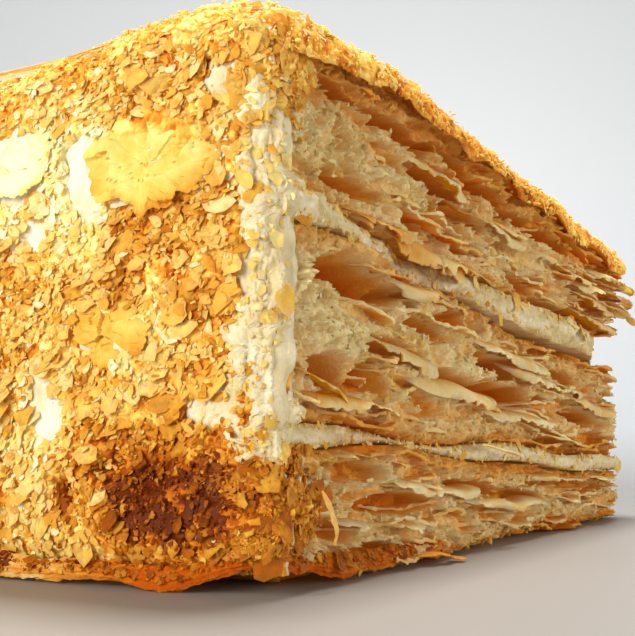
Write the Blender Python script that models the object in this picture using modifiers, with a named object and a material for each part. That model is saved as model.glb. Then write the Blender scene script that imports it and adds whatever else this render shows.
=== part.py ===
# Mille feuille slice: three puff pastry layers with two layers of cream between them. The near end
# is coated with cream and pastry flakes, and so is the top. Metres, +Z up. The slice lies along X
# with its coated end towards -X, and its two cut faces look towards -Y and +Y.

import math
import random

import bmesh
import bpy
from mathutils import Matrix, Vector, noise

# Driving dimensions
NEAR_X = -0.0546        # near end of the pastry, behind the coat
FAR_X = 0.0550          # far end of the lower layers
TOP_OVERHANG = 0.0050   # the top layer runs on past the others at the far end
HALF_WIDTH = 0.0290     # from the middle to a cut face
COAT_THICKNESS = 0.0048 # cream and flakes on the near end
COAT_FOOT = 0.0008      # the coat ends this far above the table
FACE_GAP = 0.00015      # a face stands back this far from the surface that it shares

# Height of each shared surface, at the near end and at the far end
TABLE = (0.0, 0.0)
BOTTOM_PASTRY_TOP = (0.0153, 0.0084)
LOWER_CREAM_TOP = (0.0178, 0.0106)
MIDDLE_PASTRY_TOP = (0.0366, 0.0257)
UPPER_CREAM_TOP = (0.0408, 0.0304)
TOP_PASTRY_TOP = (0.0566, 0.0476)

# The top crust and the coat swell up in a crown near the front coated corner
CROWN_HEIGHT = 0.0032
CROWN_MIDDLE = (-0.0570, -0.0180)
CROWN_SPREAD = (0.0300, 0.0160)

# The top stands higher along the -Y cut: middle along X, spread along X, height
FRONT_SWELLS = (
    (-0.0310, 0.0150, 0.0030),
    (0.0020, 0.0320, 0.0032),
)
FRONT_SWELL_FROM = -0.0080   # nothing here, and all of it at the next y
FRONT_SWELL_FULL = -0.0220

# Surface relief
LEAF_DEPTH = 0.0015     # a leaf's edge stands out this far, and the gap beside it goes in as far
LEAF_RAGGED = 0.0011    # how unevenly a leaf's edge is torn
LEAF_WAVE = 0.0007      # how far a leaf rises and dips along the cut
CREAM_BULGE = 0.0005    # how far the cream swells out between the pastry layers
SURFACE_WAVE = 0.0004   # slow waves of the surfaces between the layers
CRUMB_RELIEF = 0.0005   # unevenness of the top crust under the flakes
COAT_RELIEF = 0.0011    # lumps of cream and crumbs on the near end
ROW_JITTER = 0.55       # how unevenly thick the leaves are, as a share of one row
RIM_CURL = 0.0013       # the bottom crust curls up, and the top crust dips, at the edge
GRAIN = 170.0           # noise cells in a metre, for relief about 6 mm long
EDGE_CROWDING = 0.75    # how far the coat's columns and rows crowd towards its rolled edges
CORNER_RADIUS = 0.0040
COAT_ROUNDING = 0.0044  # the coat's outer face rolls back over this width along its edges
COAT_ROLL = 0.92        # how far round the roll goes, 1 being a full quarter turn

# Hollows between leaves on the -Y cut face: middle along X, middle height, half length,
# half height, depth
HOLLOWS = (
    (-0.0390, 0.0340, 0.0110, 0.0030, 0.0030),
    (-0.0120, 0.0215, 0.0150, 0.0026, 0.0026),
    (0.0210, 0.0190, 0.0140, 0.0030, 0.0028),
    (-0.0180, 0.0490, 0.0160, 0.0022, 0.0026),
    (0.0200, 0.0420, 0.0170, 0.0024, 0.0026),
    (-0.0280, 0.0075, 0.0130, 0.0024, 0.0024),
    (0.0120, 0.0060, 0.0140, 0.0018, 0.0020),
)

# Flakes
FLAKE_THICKNESS = 0.0009
TOP_FLAKES = (11, 6)    # along X, across Y
COAT_FLAKES = (9, 9)    # across Y, up Z
FLAKE_SIDES = 5
FLAKE_LIFT = 0.0001     # a flake's middle lies this far off the surface that it is pressed into
FLAKE_CLEARANCE = 0.0030  # fused flakes have their middles this far clear of a large flake
TOP_FLAKE_RADIUS = (0.0038, 0.0072)
TOP_FLAKE_TILT = 17.0   # degrees at most
COAT_FLAKE_RADIUS = (0.0028, 0.0050)
COAT_FLAKE_TILT = 30.0
COAT_FLAKE_FOOT = 0.0045  # the lowest flakes on the coat start at this height
COAT_FLAKE_HEAD = 0.0065  # and foot and head together leave this much of its height free
COAT_FLAKE_INSET = 0.0020
SEED = 7

# Large flakes that lie on the coat: name, place across Y, height, width, height of the flake,
# turn in its own plane in degrees
LARGE_FLAKES = (
    ("large_flake_1", -0.0150, 0.0438, 0.0172, 0.0110, -6.0),
    ("large_flake_2", 0.0035, 0.0455, 0.0092, 0.0088, 28.0),
    ("large_flake_3", -0.0105, 0.0262, 0.0098, 0.0072, 12.0),
)
LARGE_FLAKE_CELLS = (5, 4)
LARGE_FLAKE_THICKNESS = 0.0007
LARGE_FLAKE_STAND_OFF = 0.0013
LARGE_FLAKE_CURL = 0.0009


def clear_scene():
    for obj in list(bpy.data.objects):
        bpy.data.objects.remove(obj, do_unlink=True)


def food_material(name, colour, roughness):
    material = bpy.data.materials.new(name)
    material.use_nodes = True
    shader = material.node_tree.nodes["Principled BSDF"]
    shader.inputs["Base Color"].default_value = (*colour, 1.0)
    shader.inputs["Roughness"].default_value = roughness
    shader.inputs["Metallic"].default_value = 0.0
    material.diffuse_color = (*colour, 1.0)
    return material


def add_object(name, mesh, material, collection):
    """Makes a mesh object from a bmesh, which is freed."""
    data = bpy.data.meshes.new(name)
    bmesh.ops.recalc_face_normals(mesh, faces=mesh.faces)
    mesh.to_mesh(data)
    mesh.free()
    data.materials.append(material)
    obj = bpy.data.objects.new(name, data)
    collection.objects.link(obj)
    return obj


def slow_wave(heights, x, y):
    """The wave of a shared surface. The table has none."""
    if heights is TABLE:
        return 0.0
    phase = heights[0] * 400.0
    return SURFACE_WAVE * (math.sin(x * 150.0 + phase) + math.cos(y * 120.0 - phase))


def crown(x, y):
    """Extra height of the top near the front coated corner: a smooth bell over both directions."""
    away_x, away_y = ((at - mid) / spread for at, mid, spread in zip((x, y), CROWN_MIDDLE, CROWN_SPREAD))
    return CROWN_HEIGHT * math.exp(-away_x ** 2 - away_y ** 2)


def front_swell(x, y):
    """Extra height of the top along the -Y cut: bells along X, blended in across the slice."""
    share = (y - FRONT_SWELL_FROM) / (FRONT_SWELL_FULL - FRONT_SWELL_FROM)
    share = max(0.0, min(1.0, share))
    along = sum(height * math.exp(-((x - mid) / spread) ** 2) for mid, spread, height in FRONT_SWELLS)
    return along * share * share * (3.0 - 2.0 * share)


def surface_height(heights, x, y):
    """Height of a shared surface, which slopes from the near end to the far end."""
    along = (x - NEAR_X) / (FAR_X - NEAR_X)
    height = heights[0] + (heights[1] - heights[0]) * along + slow_wave(heights, x, y)
    return height + crown(x, y) + front_swell(x, y) if heights is TOP_PASTRY_TOP else height


def coat_top(y):
    """Height of the coat's top edge."""
    return TOP_PASTRY_TOP[0] + crown(NEAR_X, y)


def grid_block(cuts):
    """A closed cube of side 1 whose faces are split into cuts cells along X, Y and Z."""
    mesh = bmesh.new()
    bmesh.ops.create_cube(mesh, size=1.0)
    for axis, count in enumerate(cuts):
        along = [
            edge for edge in mesh.edges
            if abs(edge.verts[0].co[axis] - edge.verts[1].co[axis]) > 1e-6
        ]
        bmesh.ops.subdivide_edges(mesh, edges=along, cuts=count - 1, use_grid_fill=True)
    return mesh


def round_corner(point, half, radius):
    """Moves a point of a rectangle's outline onto its rounded far corner, and gives the way out."""
    if point.x < 0:
        radius = 0.0
    inner = Vector((half.x - radius, half.y - radius))
    over = Vector((abs(point.x) - inner.x, abs(point.y) - inner.y))
    side = Vector((math.copysign(1.0, point.x), math.copysign(1.0, point.y)))
    if over.x > 1e-7 and over.y > 1e-7:
        outward = over.normalized()
        place = inner + outward * radius
        return place * side, outward * side
    outward = Vector((side.x, 0.0)) if half.x - abs(point.x) < 1e-7 else Vector((0.0, side.y))
    return point, outward


def leaf_edge(row, rows, x, y, seed):
    """How far the torn edges of the leaves stand out, row by row up the cut face."""
    if row in (0, rows):
        return -LEAF_RAGGED
    place = Vector((x * GRAIN, y * GRAIN, seed + row * 1.7))
    standing = 1.0 if row % 2 else -1.0
    depth = LEAF_DEPTH * (0.6 + 0.7 * noise.noise(place))
    return standing * depth + LEAF_RAGGED * noise.noise(place * 2.3)


def hollow_depth(x, z):
    """How far the hollows between leaves go into the cut face at this place."""
    depth = 0.0
    for along, height, half_length, half_height, deep in HOLLOWS:
        away = math.hypot((x - along) / half_length, (z - height) / half_height)
        depth = max(depth, deep * max(0.0, 1.0 - away ** 2))
    return depth


def pastry_layer(name, floor, roof, cuts, overhang, seed, material, collection):
    """A puff pastry layer: its leaves show as ragged ridges round the cut faces and the ends."""
    mesh = grid_block(cuts)
    rows = cuts[2]
    far_x = FAR_X + overhang
    middle = Vector(((NEAR_X + far_x) / 2, 0.0))
    half = Vector(((far_x - NEAR_X) / 2, HALF_WIDTH))
    for vert in mesh.verts:
        u, v, w = (c + 0.5 for c in vert.co)
        row = round(w * rows)
        if 0 < row < rows:
            w += ROW_JITTER / rows * noise.noise(Vector((row * 0.83, seed * 5.1, 0.5)))
        flat = Vector(((u - 0.5) * 2 * half.x, (v - 0.5) * 2 * half.y))
        on_side = min(u, 1 - u, v, 1 - v) < 1e-6
        curl = 0.0
        if on_side:
            flat, outward = round_corner(flat, half, CORNER_RADIUS)
            push = leaf_edge(row, rows, flat.x, flat.y, seed)
            if u < 1e-6:
                push = min(push, 0.0) * 0.3
            elif outward.y < -0.5:
                place = flat + middle
                low = surface_height(floor, place.x, place.y)
                high = surface_height(roof, place.x, place.y)
                push -= hollow_depth(place.x, low + (high - low) * w)
            flat = flat + outward * push
            if floor is TABLE and row == 0:
                curl = RIM_CURL
            if roof is TOP_PASTRY_TOP and row == rows:
                curl = -RIM_CURL
        x, y = flat + middle
        low = surface_height(floor, x, y) + (0.0 if floor is TABLE else FACE_GAP)
        high = surface_height(roof, x, y) - FACE_GAP
        wave = 0.0
        if 0 < row < rows:
            wave = LEAF_WAVE * noise.noise(Vector((x * GRAIN * 0.7, y * GRAIN * 0.7, seed + row)))
        elif row == rows and roof is TOP_PASTRY_TOP:
            wave = CRUMB_RELIEF * noise.noise(Vector((x * GRAIN, y * GRAIN, seed)))
        vert.co = Vector((x, y, low + (high - low) * w + wave + curl))
    return add_object(name, mesh, material, collection)


def cream_layer(name, floor, roof, cuts, seed, material, collection):
    """A layer of cream that runs through the slice and swells out a little between the pastry."""
    mesh = grid_block(cuts)
    rows = cuts[2]
    half = Vector(((FAR_X - NEAR_X) / 2 - LEAF_RAGGED, HALF_WIDTH - LEAF_RAGGED))
    middle = Vector(((NEAR_X + FAR_X) / 2 - LEAF_RAGGED, 0.0))
    for vert in mesh.verts:
        u, v, w = (c + 0.5 for c in vert.co)
        flat = Vector(((u - 0.5) * 2 * half.x, (v - 0.5) * 2 * half.y))
        if min(u, 1 - u, v, 1 - v) < 1e-6:
            flat, outward = round_corner(flat, half, CORNER_RADIUS)
            ragged = noise.noise(Vector((flat.x * GRAIN, flat.y * GRAIN, seed)))
            belly = math.sin(w * math.pi)
            push = CREAM_BULGE * (belly + ragged)
            flat = flat + outward * (min(push, 0.0) if u < 1e-6 else push)
        x, y = flat + middle
        low = surface_height(floor, x, y) + FACE_GAP
        high = surface_height(roof, x, y) - FACE_GAP
        vert.co = Vector((x, y, low + (high - low) * round(w * rows) / rows))
    return add_object(name, mesh, material, collection)


def coat_surface(y, z):
    """X of the coat's outer face: nearly flat, rolling back towards its side, top and foot edges."""
    from_edge = min(HALF_WIDTH - abs(y), coat_top(y) - z, z - COAT_FOOT)
    roll = max(0.0, 1.0 - from_edge / COAT_ROUNDING)
    relief = COAT_RELIEF * noise.noise(Vector((y * GRAIN, z * GRAIN, 3.1)))
    outer = NEAR_X - FACE_GAP * 2 - COAT_THICKNESS
    return outer + COAT_ROUNDING * (1.0 - math.sqrt(1.0 - roll * roll * COAT_ROLL)) - relief


def crowded(share):
    """Moves a share from 0 to 1 towards the nearer end, so that rounded edges get more columns."""
    return share + EDGE_CROWDING * (0.5 - 0.5 * math.cos(share * math.pi) - share)


def coat_core(name, cuts, material, collection):
    """The cream coat of the near end, without its flakes."""
    mesh = grid_block(cuts)
    back = NEAR_X - FACE_GAP * 2
    for vert in mesh.verts:
        u, v, w = (c + 0.5 for c in vert.co)
        y = (crowded(v) - 0.5) * 2 * HALF_WIDTH
        z = COAT_FOOT + (coat_top(y) - COAT_FOOT) * crowded(w)
        x = back + (coat_surface(y, z) - back) * (1.0 - u)
        vert.co = Vector((x, y, z))
    return add_object(name, mesh, material, collection)


def flake(name, centre, normal, radius, spin, chance, material, collection):
    """One broken flake: a thin plate with an uneven outline, placed by its location and rotation."""
    mesh = bmesh.new()
    bmesh.ops.create_cone(
        mesh, cap_ends=True, segments=FLAKE_SIDES, radius1=1.0, radius2=0.86, depth=FLAKE_THICKNESS
    )
    stretch = chance.uniform(0.65, 1.0)
    reach = [chance.uniform(0.72, 1.15) * radius for _ in range(FLAKE_SIDES)]
    for vert in mesh.verts:
        corner = round(math.atan2(vert.co.y, vert.co.x) / (2 * math.pi) * FLAKE_SIDES) % FLAKE_SIDES
        vert.co.x *= reach[corner]
        vert.co.y *= reach[corner] * stretch
    bmesh.ops.triangulate(mesh, faces=mesh.faces)
    obj = add_object(name, mesh, material, collection)
    obj.location = centre
    turn = normal.to_track_quat("Z", "Y")
    obj.rotation_mode = "QUATERNION"
    obj.rotation_quaternion = turn @ Matrix.Rotation(spin, 3, "Z").to_quaternion()
    return obj


def tilted(normal, most, chance):
    """The normal, tilted by a random angle of up to most degrees."""
    axis = normal.orthogonal().normalized()
    axis.rotate(Matrix.Rotation(chance.uniform(0.0, 2 * math.pi), 3, normal))
    return Matrix.Rotation(math.radians(chance.uniform(0.2, 1.0) * most), 3, axis) @ normal


def top_flakes(material, collection):
    """Flakes that lie over each other on the top crust, some past its edge."""
    chance = random.Random(SEED)
    far_x = FAR_X + TOP_OVERHANG
    count_x, count_y = TOP_FLAKES
    for i in range(count_x):
        for j in range(count_y):
            x = NEAR_X + (far_x - NEAR_X) * (i + chance.uniform(0.25, 0.75)) / count_x
            y = HALF_WIDTH * (2 * (j + chance.uniform(0.2, 0.8)) / count_y - 1)
            z = surface_height(TOP_PASTRY_TOP, x, y) + FLAKE_LIFT
            normal = tilted(Vector((0, 0, 1)), TOP_FLAKE_TILT, chance)
            radius = chance.uniform(*TOP_FLAKE_RADIUS)
            spin = chance.uniform(0, 2 * math.pi)
            flake(f"top_flake_{i}_{j}", Vector((x, y, z)), normal, radius, spin, chance, material, collection)


def under_large_flake(y, z):
    """True where a large flake lies on the coat, so that no fused flake reaches it."""
    return any(
        abs(y - place) < width * 0.5 + FLAKE_CLEARANCE and abs(z - height) < tall * 0.5 + FLAKE_CLEARANCE
        for _, place, height, width, tall, _ in LARGE_FLAKES
    )


def coat_flakes(material, collection):
    """Flakes pressed into the cream of the near end at all angles."""
    chance = random.Random(SEED + 1)
    count_y, count_z = COAT_FLAKES
    for i in range(count_y):
        for j in range(count_z):
            y = (HALF_WIDTH - COAT_FLAKE_INSET) * (2 * (i + chance.uniform(0.15, 0.85)) / count_y - 1)
            z = COAT_FLAKE_FOOT + (coat_top(y) - COAT_FLAKE_HEAD) * (j + chance.uniform(0.15, 0.85)) / count_z
            radius = chance.uniform(*COAT_FLAKE_RADIUS)
            normal = tilted(Vector((-1, 0, 0)), COAT_FLAKE_TILT, chance)
            spin = chance.uniform(0, 2 * math.pi)
            if not under_large_flake(y, z):
                centre = Vector((coat_surface(y, z) - FLAKE_LIFT, y, z))
                flake(f"coat_flake_{i}_{j}", centre, normal, radius, spin, chance, material, collection)


def keep_largest_shell(data):
    """Drops sealed hollows and loose scraps that a union leaves, keeping the outer surface."""
    mesh = bmesh.new()
    mesh.from_mesh(data)
    unseen = set(mesh.verts)
    shells = []
    while unseen:
        open_ends = [unseen.pop()]
        shell = set(open_ends)
        while open_ends:
            for edge in open_ends.pop().link_edges:
                for vert in edge.verts:
                    if vert in unseen:
                        unseen.discard(vert)
                        shell.add(vert)
                        open_ends.append(vert)
        shells.append(shell)
    largest = max(shells, key=len)
    loose = [vert for vert in mesh.verts if vert not in largest]
    bmesh.ops.delete(mesh, geom=loose, context="VERTS")
    mesh.to_mesh(data)
    mesh.free()


def fuse(obj, flakes):
    """Joins a collection of flakes to the object they lie on, then removes them."""
    union = obj.modifiers.new("fuse flakes", "BOOLEAN")
    union.operation = "UNION"
    union.operand_type = "COLLECTION"
    union.collection = flakes
    union.solver = "MANIFOLD"
    bpy.context.view_layer.update()
    evaluated = obj.evaluated_get(bpy.context.evaluated_depsgraph_get())
    joined = bpy.data.meshes.new_from_object(evaluated)
    obj.modifiers.clear()
    obj.data = joined
    for piece in list(flakes.objects):
        bpy.data.objects.remove(piece, do_unlink=True)
    bpy.data.collections.remove(flakes)
    keep_largest_shell(obj.data)


def large_flake(name, place, height, width, tall, turn, material, collection):
    """A large, thin, wavy flake that leans on the coat, its lower edge lifted."""
    mesh = bmesh.new()
    columns, rows = LARGE_FLAKE_CELLS
    bmesh.ops.create_grid(mesh, x_segments=columns, y_segments=rows, size=0.5)
    phase = place * 900.0
    for vert in mesh.verts:
        p, q = vert.co.x, vert.co.y
        round_off = 1.0 - 0.9 * (p * q) ** 2 * 4
        ragged = 1.0 + 0.10 * noise.noise(Vector((p * 5, q * 5, phase)))
        curl = LARGE_FLAKE_CURL * (0.5 * math.sin(p * 5 + phase) + 1.6 * max(0.0, -q) - p * p)
        vert.co = Vector((p * width * round_off * ragged, q * tall * round_off * ragged, curl))
    bmesh.ops.triangulate(mesh, faces=mesh.faces)
    obj = add_object(name, mesh, material, collection)
    shell = obj.modifiers.new("thickness", "SOLIDIFY")
    shell.thickness = LARGE_FLAKE_THICKNESS
    shell.offset = 0.0
    outer = NEAR_X - FACE_GAP * 2 - COAT_THICKNESS
    obj.location = (outer - LARGE_FLAKE_STAND_OFF, place, height)
    face_out = Matrix(((0, 0, -1), (-1, 0, 0), (0, 1, 0)))
    spin = Matrix.Rotation(math.radians(turn), 3, "Z")
    obj.rotation_euler = (face_out @ spin).to_euler()
    return obj


def main():
    clear_scene()
    collection = bpy.data.collections.new("mille_feuille_slice")
    bpy.context.scene.collection.children.link(collection)
    baked = food_material("baked_pastry", (0.80, 0.56, 0.25), 0.75)
    crust = food_material("flaky_crust", (0.78, 0.47, 0.15), 0.70)
    cream = food_material("cream", (0.90, 0.86, 0.72), 0.55)
    pale = food_material("pale_flake", (0.93, 0.74, 0.36), 0.60)

    pastry_layer(
        "pastry_bottom", TABLE, BOTTOM_PASTRY_TOP, (29, 7, 10), 0.0, 1.0, baked, collection
    )
    cream_layer(
        "cream_lower", BOTTOM_PASTRY_TOP, LOWER_CREAM_TOP, (20, 6, 2), 2.0, cream, collection
    )
    pastry_layer(
        "pastry_middle", LOWER_CREAM_TOP, MIDDLE_PASTRY_TOP, (29, 7, 12), 0.0, 3.0, baked, collection
    )
    cream_layer(
        "cream_upper", MIDDLE_PASTRY_TOP, UPPER_CREAM_TOP, (20, 6, 2), 4.0, cream, collection
    )
    top = pastry_layer(
        "pastry_top", UPPER_CREAM_TOP, TOP_PASTRY_TOP, (29, 7, 12), TOP_OVERHANG, 5.0, crust, collection
    )
    coat = coat_core("end_coat", (2, 14, 14), crust, collection)

    loose_top = bpy.data.collections.new("top_flakes")
    loose_coat = bpy.data.collections.new("coat_flakes")
    for flakes in (loose_top, loose_coat):
        bpy.context.scene.collection.children.link(flakes)
    top_flakes(crust, loose_top)
    coat_flakes(crust, loose_coat)
    fuse(top, loose_top)
    fuse(coat, loose_coat)

    for name, place, height, width, tall, turn in LARGE_FLAKES:
        large_flake(name, place, height, width, tall, turn, pale, collection)


main()
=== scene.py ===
# The looks of the mille feuille slice: torn puff pastry, cream, a coat of cream and flakes, with
# floor, light and camera. Metres, in the CAD model's frame: the slice lies along X with its coated
# end towards -X, and the cut face that the photograph shows looks along -Y.

import itertools
import math

import bpy
import numpy as np
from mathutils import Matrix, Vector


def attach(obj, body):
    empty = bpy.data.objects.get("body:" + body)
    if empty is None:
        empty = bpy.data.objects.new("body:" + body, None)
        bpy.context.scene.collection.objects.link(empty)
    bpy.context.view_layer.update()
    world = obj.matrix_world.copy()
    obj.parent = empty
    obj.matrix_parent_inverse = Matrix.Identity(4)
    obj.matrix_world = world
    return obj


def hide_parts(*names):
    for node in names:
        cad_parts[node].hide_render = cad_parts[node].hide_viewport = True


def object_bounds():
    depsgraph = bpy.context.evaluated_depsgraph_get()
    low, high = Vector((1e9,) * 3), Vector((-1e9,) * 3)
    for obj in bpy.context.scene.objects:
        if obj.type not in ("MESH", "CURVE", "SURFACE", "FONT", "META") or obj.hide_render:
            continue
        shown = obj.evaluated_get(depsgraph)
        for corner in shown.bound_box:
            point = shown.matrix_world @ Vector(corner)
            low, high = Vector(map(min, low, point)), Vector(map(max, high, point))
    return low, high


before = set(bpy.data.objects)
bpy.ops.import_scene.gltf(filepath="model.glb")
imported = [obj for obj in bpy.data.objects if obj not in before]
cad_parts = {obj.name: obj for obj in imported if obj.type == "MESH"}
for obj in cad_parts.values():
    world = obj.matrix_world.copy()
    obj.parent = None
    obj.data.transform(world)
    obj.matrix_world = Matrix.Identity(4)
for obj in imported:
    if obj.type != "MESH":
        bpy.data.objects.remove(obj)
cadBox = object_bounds()
print("frame loaded")

mm = 0.001

# The slice's shape, as in the part's source
sliceShape = {
    "nearX": -54.6 * mm,       # the levels' slope starts here
    "tornX": -57.2 * mm,       # torn pastry shows from here, past the thin side of the coat
    "farX": 55.0 * mm,
    "halfWidth": 29.0 * mm,
    "cornerRadius": 3.5 * mm,
    "flare": 0.045,            # the far end is wider by this share
    "faceGap": 0.15 * mm,
    "surfaceWave": 0.4 * mm,
    "crownHeight": 3.2 * mm,   # swelling near the front coated corner
    "crownMiddle": (-57.0 * mm, -18.0 * mm),
    "crownSpread": (30.0 * mm, 16.0 * mm),
}

# Height of each shared surface at the near end and at the far end
levels = {
    "table": (0.0, 0.0),
    "bottomTop": (15.3 * mm, 8.4 * mm),
    "lowerCreamTop": (17.8 * mm, 10.6 * mm),
    "middleTop": (36.6 * mm, 25.7 * mm),
    "upperCreamTop": (40.8 * mm, 30.4 * mm),
    "topTop": (56.6 * mm, 47.6 * mm),
}


def cellHash(seed, *cells):
    # a steady number from 0 to 1 for each whole-number cell: multiply, fold, keep the top bits
    mixed = np.full(np.shape(cells[0]), seed * 2654435761 + 97, np.uint64)
    for cell in cells:
        mixed = (mixed ^ np.asarray(cell, np.int64).astype(np.uint64)) * np.uint64(0x9E3779B97F4A7C15)
        mixed = mixed ^ (mixed >> np.uint64(31))
    return (mixed >> np.uint64(40)).astype(float) / 2 ** 24


def smoothNoise(seed, *place):
    # from -1 to 1: the values at a cell's corners, blended by 3t^2 - 2t^3 in each direction
    place = np.broadcast_arrays(*place)
    base = [np.floor(p).astype(np.int64) for p in place]
    share = [p - b for p, b in zip(place, base)]
    share = [s * s * (3 - 2 * s) for s in share]
    total = 0.0
    for corner in itertools.product((0, 1), repeat=len(base)):
        weight = 1.0
        for side, s in zip(corner, share):
            weight = weight * (s if side else 1 - s)
        total = total + weight * cellHash(seed, *[b + side for b, side in zip(base, corner)])
    return 2 * total - 1


def roughNoise(seed, octaves, *place):
    # smooth noise added to itself, each time twice as fine and half as strong
    total = 0.0
    for octave in range(octaves):
        finer = [p * 2.03 ** octave for p in place]
        total = total + smoothNoise(seed + octave, *finer) * 0.5 ** octave
    return total


def cellular(seed, x, y):
    # one point in each square: how much nearer the nearest is than the next, its own number, and
    # the way from it
    x, y = np.broadcast_arrays(x, y)
    baseX, baseY = np.floor(x).astype(np.int64), np.floor(y).astype(np.int64)
    near, second = np.full(x.shape, 9.0), np.full(x.shape, 9.0)
    number, wayX, wayY = np.zeros(x.shape), np.zeros(x.shape), np.zeros(x.shape)
    for stepX, stepY in itertools.product((-1, 0, 1), repeat=2):
        cellX, cellY = baseX + stepX, baseY + stepY
        offX, offY = x - cellX - cellHash(seed, cellX, cellY), y - cellY - cellHash(seed + 1, cellX, cellY)
        away = np.hypot(offX, offY)
        second = np.minimum(second, np.maximum(near, away))
        closer = away < near
        number = np.where(closer, cellHash(seed + 2, cellX, cellY), number)
        wayX, wayY = np.where(closer, offX, wayX), np.where(closer, offY, wayY)
        near = np.minimum(near, away)
    return second - near, number, wayX, wayY


def shingles(seed, across, up, size, lean, jag=0.30):
    # overlapping flat flakes: cells with jagged borders, each at its own height and leaning its own
    # way; gives the height, about 0 to 1, and the flake's own number
    warpX = jag * roughNoise(seed + 50, 3, across / (0.4 * size), up / (0.4 * size))
    warpY = jag * roughNoise(seed + 60, 3, across / (0.4 * size), up / (0.4 * size))
    _, number, wayX, wayY = cellular(seed, across / size + warpX, up / (0.8 * size) + warpY)
    turn = 2.6 * np.modf(number * 37.7)[0] - 1.9
    return number + lean * (wayX * np.cos(turn) + wayY * np.sin(turn)), number


def facets(seed, across, up, length, tall):
    # smooth creased panels: cells that are flat but for a lean of their own
    _, number, wayX, wayY = cellular(seed, across / length, up / tall)
    turn = 6.3 * np.modf(number * 53.1)[0]
    return number - 0.5 + 0.9 * (wayX * np.cos(turn) + wayY * np.sin(turn))


def smoothStep(low, high, value):
    # 0 at low and 1 at high, eased by 3t^2 - 2t^3
    t = np.clip((value - low) / (high - low), 0.0, 1.0)
    return t * t * (3 - 2 * t)


def bell(value, middle, spread):
    # 1 in the middle, falling as e^-(distance / spread)^2
    return np.exp(-((value - middle) / spread) ** 2)


def bellAt(across, up, midAcross, midUp, spreadAcross, spreadUp):
    # the bells of both directions multiplied; middles and spreads in mm
    return bell(across, midAcross * mm, spreadAcross * mm) * bell(up, midUp * mm, spreadUp * mm)


reachPast = 1.2 * mm       # pieces keep to the CAD box and this much round it, and above the table
lowest = np.array(cadBox[0]) - reachPast
highest = np.array(cadBox[1]) + reachPast
lowest[2] = 0.02 * mm


def addPiece(name, points, faces, material, slot, smooth=True, crisp=45, **values):
    # puts whole arrays of points and faces into a mesh; values are one number for each point.
    # Edges bent by more than crisp degrees stay sharp, as on thin broken leaves
    points = np.clip(points, lowest, highest)
    faceSets = faces if isinstance(faces, list) else [faces]
    loops = np.concatenate([f.ravel() for f in faceSets]).astype(np.int32)
    counts = np.concatenate([np.full(len(f), f.shape[1]) for f in faceSets])
    mesh = bpy.data.meshes.new(name)
    mesh.vertices.add(len(points))
    mesh.vertices.foreach_set("co", np.asarray(points, np.float32).ravel())
    mesh.loops.add(len(loops))
    mesh.loops.foreach_set("vertex_index", loops)
    mesh.polygons.add(len(counts))
    mesh.polygons.foreach_set("loop_start", (np.cumsum(counts) - counts).astype(np.int32))
    mesh.polygons.foreach_set("use_smooth", np.full(len(counts), smooth))
    for key, value in values.items():
        attribute = mesh.attributes.new(key, "FLOAT", "POINT")
        attribute.data.foreach_set("value", np.asarray(value, np.float32).ravel())
    mesh.update(calc_edges=True)
    mesh.set_sharp_from_angle(angle=math.radians(crisp))
    mesh.materials.append(material)
    piece = bpy.data.objects.new(name, mesh)
    bpy.context.scene.collection.objects.link(piece)
    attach(piece, "root")
    triangles = int((counts - 2).sum())
    print(f"{name}: {triangles} triangles")
    return piece


def loftRings(rings):
    # rings of points, going up, each anticlockwise from above; a fan closes the first and the last
    count, around = rings.shape[:2]
    ring = np.arange(count - 1)[:, None] * around
    i = np.arange(around)[None, :]
    j = (i + 1) % around
    walls = np.stack([ring + i, ring + j, ring + around + j, ring + around + i], -1).reshape(-1, 4)
    low, high = count * around, count * around + 1
    last = (count - 1) * around
    i, j = i.ravel(), j.ravel()
    fans = np.concatenate([
        np.stack([np.full(around, low), j, i], -1),
        np.stack([np.full(around, high), last + i, last + j], -1),
    ])
    points = np.concatenate([rings.reshape(-1, 3), rings[:1].mean(1), rings[-1:].mean(1)])
    return points, [walls, fans]


def joinShapes(shapes):
    # separate shapes as one: each one's faces are numbered on from the points before it
    points, faces = zip(*shapes)
    starts = np.cumsum([0] + [len(own) for own in points[:-1]])
    kinds = range(len(faces[0]))
    joined = [np.concatenate([own[kind] + start for own, start in zip(faces, starts)]) for kind in kinds]
    return np.concatenate(points), joined


def paint(red, green, blue):
    # a colour as seen on screen, 0 to 255, into the shader's own light values
    seen = np.array([red, green, blue]) / 255
    light = np.where(seen <= 0.04045, seen / 12.92, ((seen + 0.055) / 1.055) ** 2.4)
    return (*light, 1.0)


def addNode(tree, kind, **settings):
    # each setting goes to the socket of that name, or else to the node's own property
    node = tree.nodes.new(kind)
    for key, value in settings.items():
        if key in node.inputs:
            node.inputs[key].default_value = value
        else:
            setattr(node, key, value)
    return node


def addRamp(tree, stops):
    # a colour ramp through the stops: position, colour as seen
    ramp = addNode(tree, "ShaderNodeValToRGB")
    elements = ramp.color_ramp.elements
    while len(elements) < len(stops):
        elements.new(0.5)
    for element, (position, colour) in zip(elements, stops):
        element.position = position
        element.color = paint(*colour)
    return ramp


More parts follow.
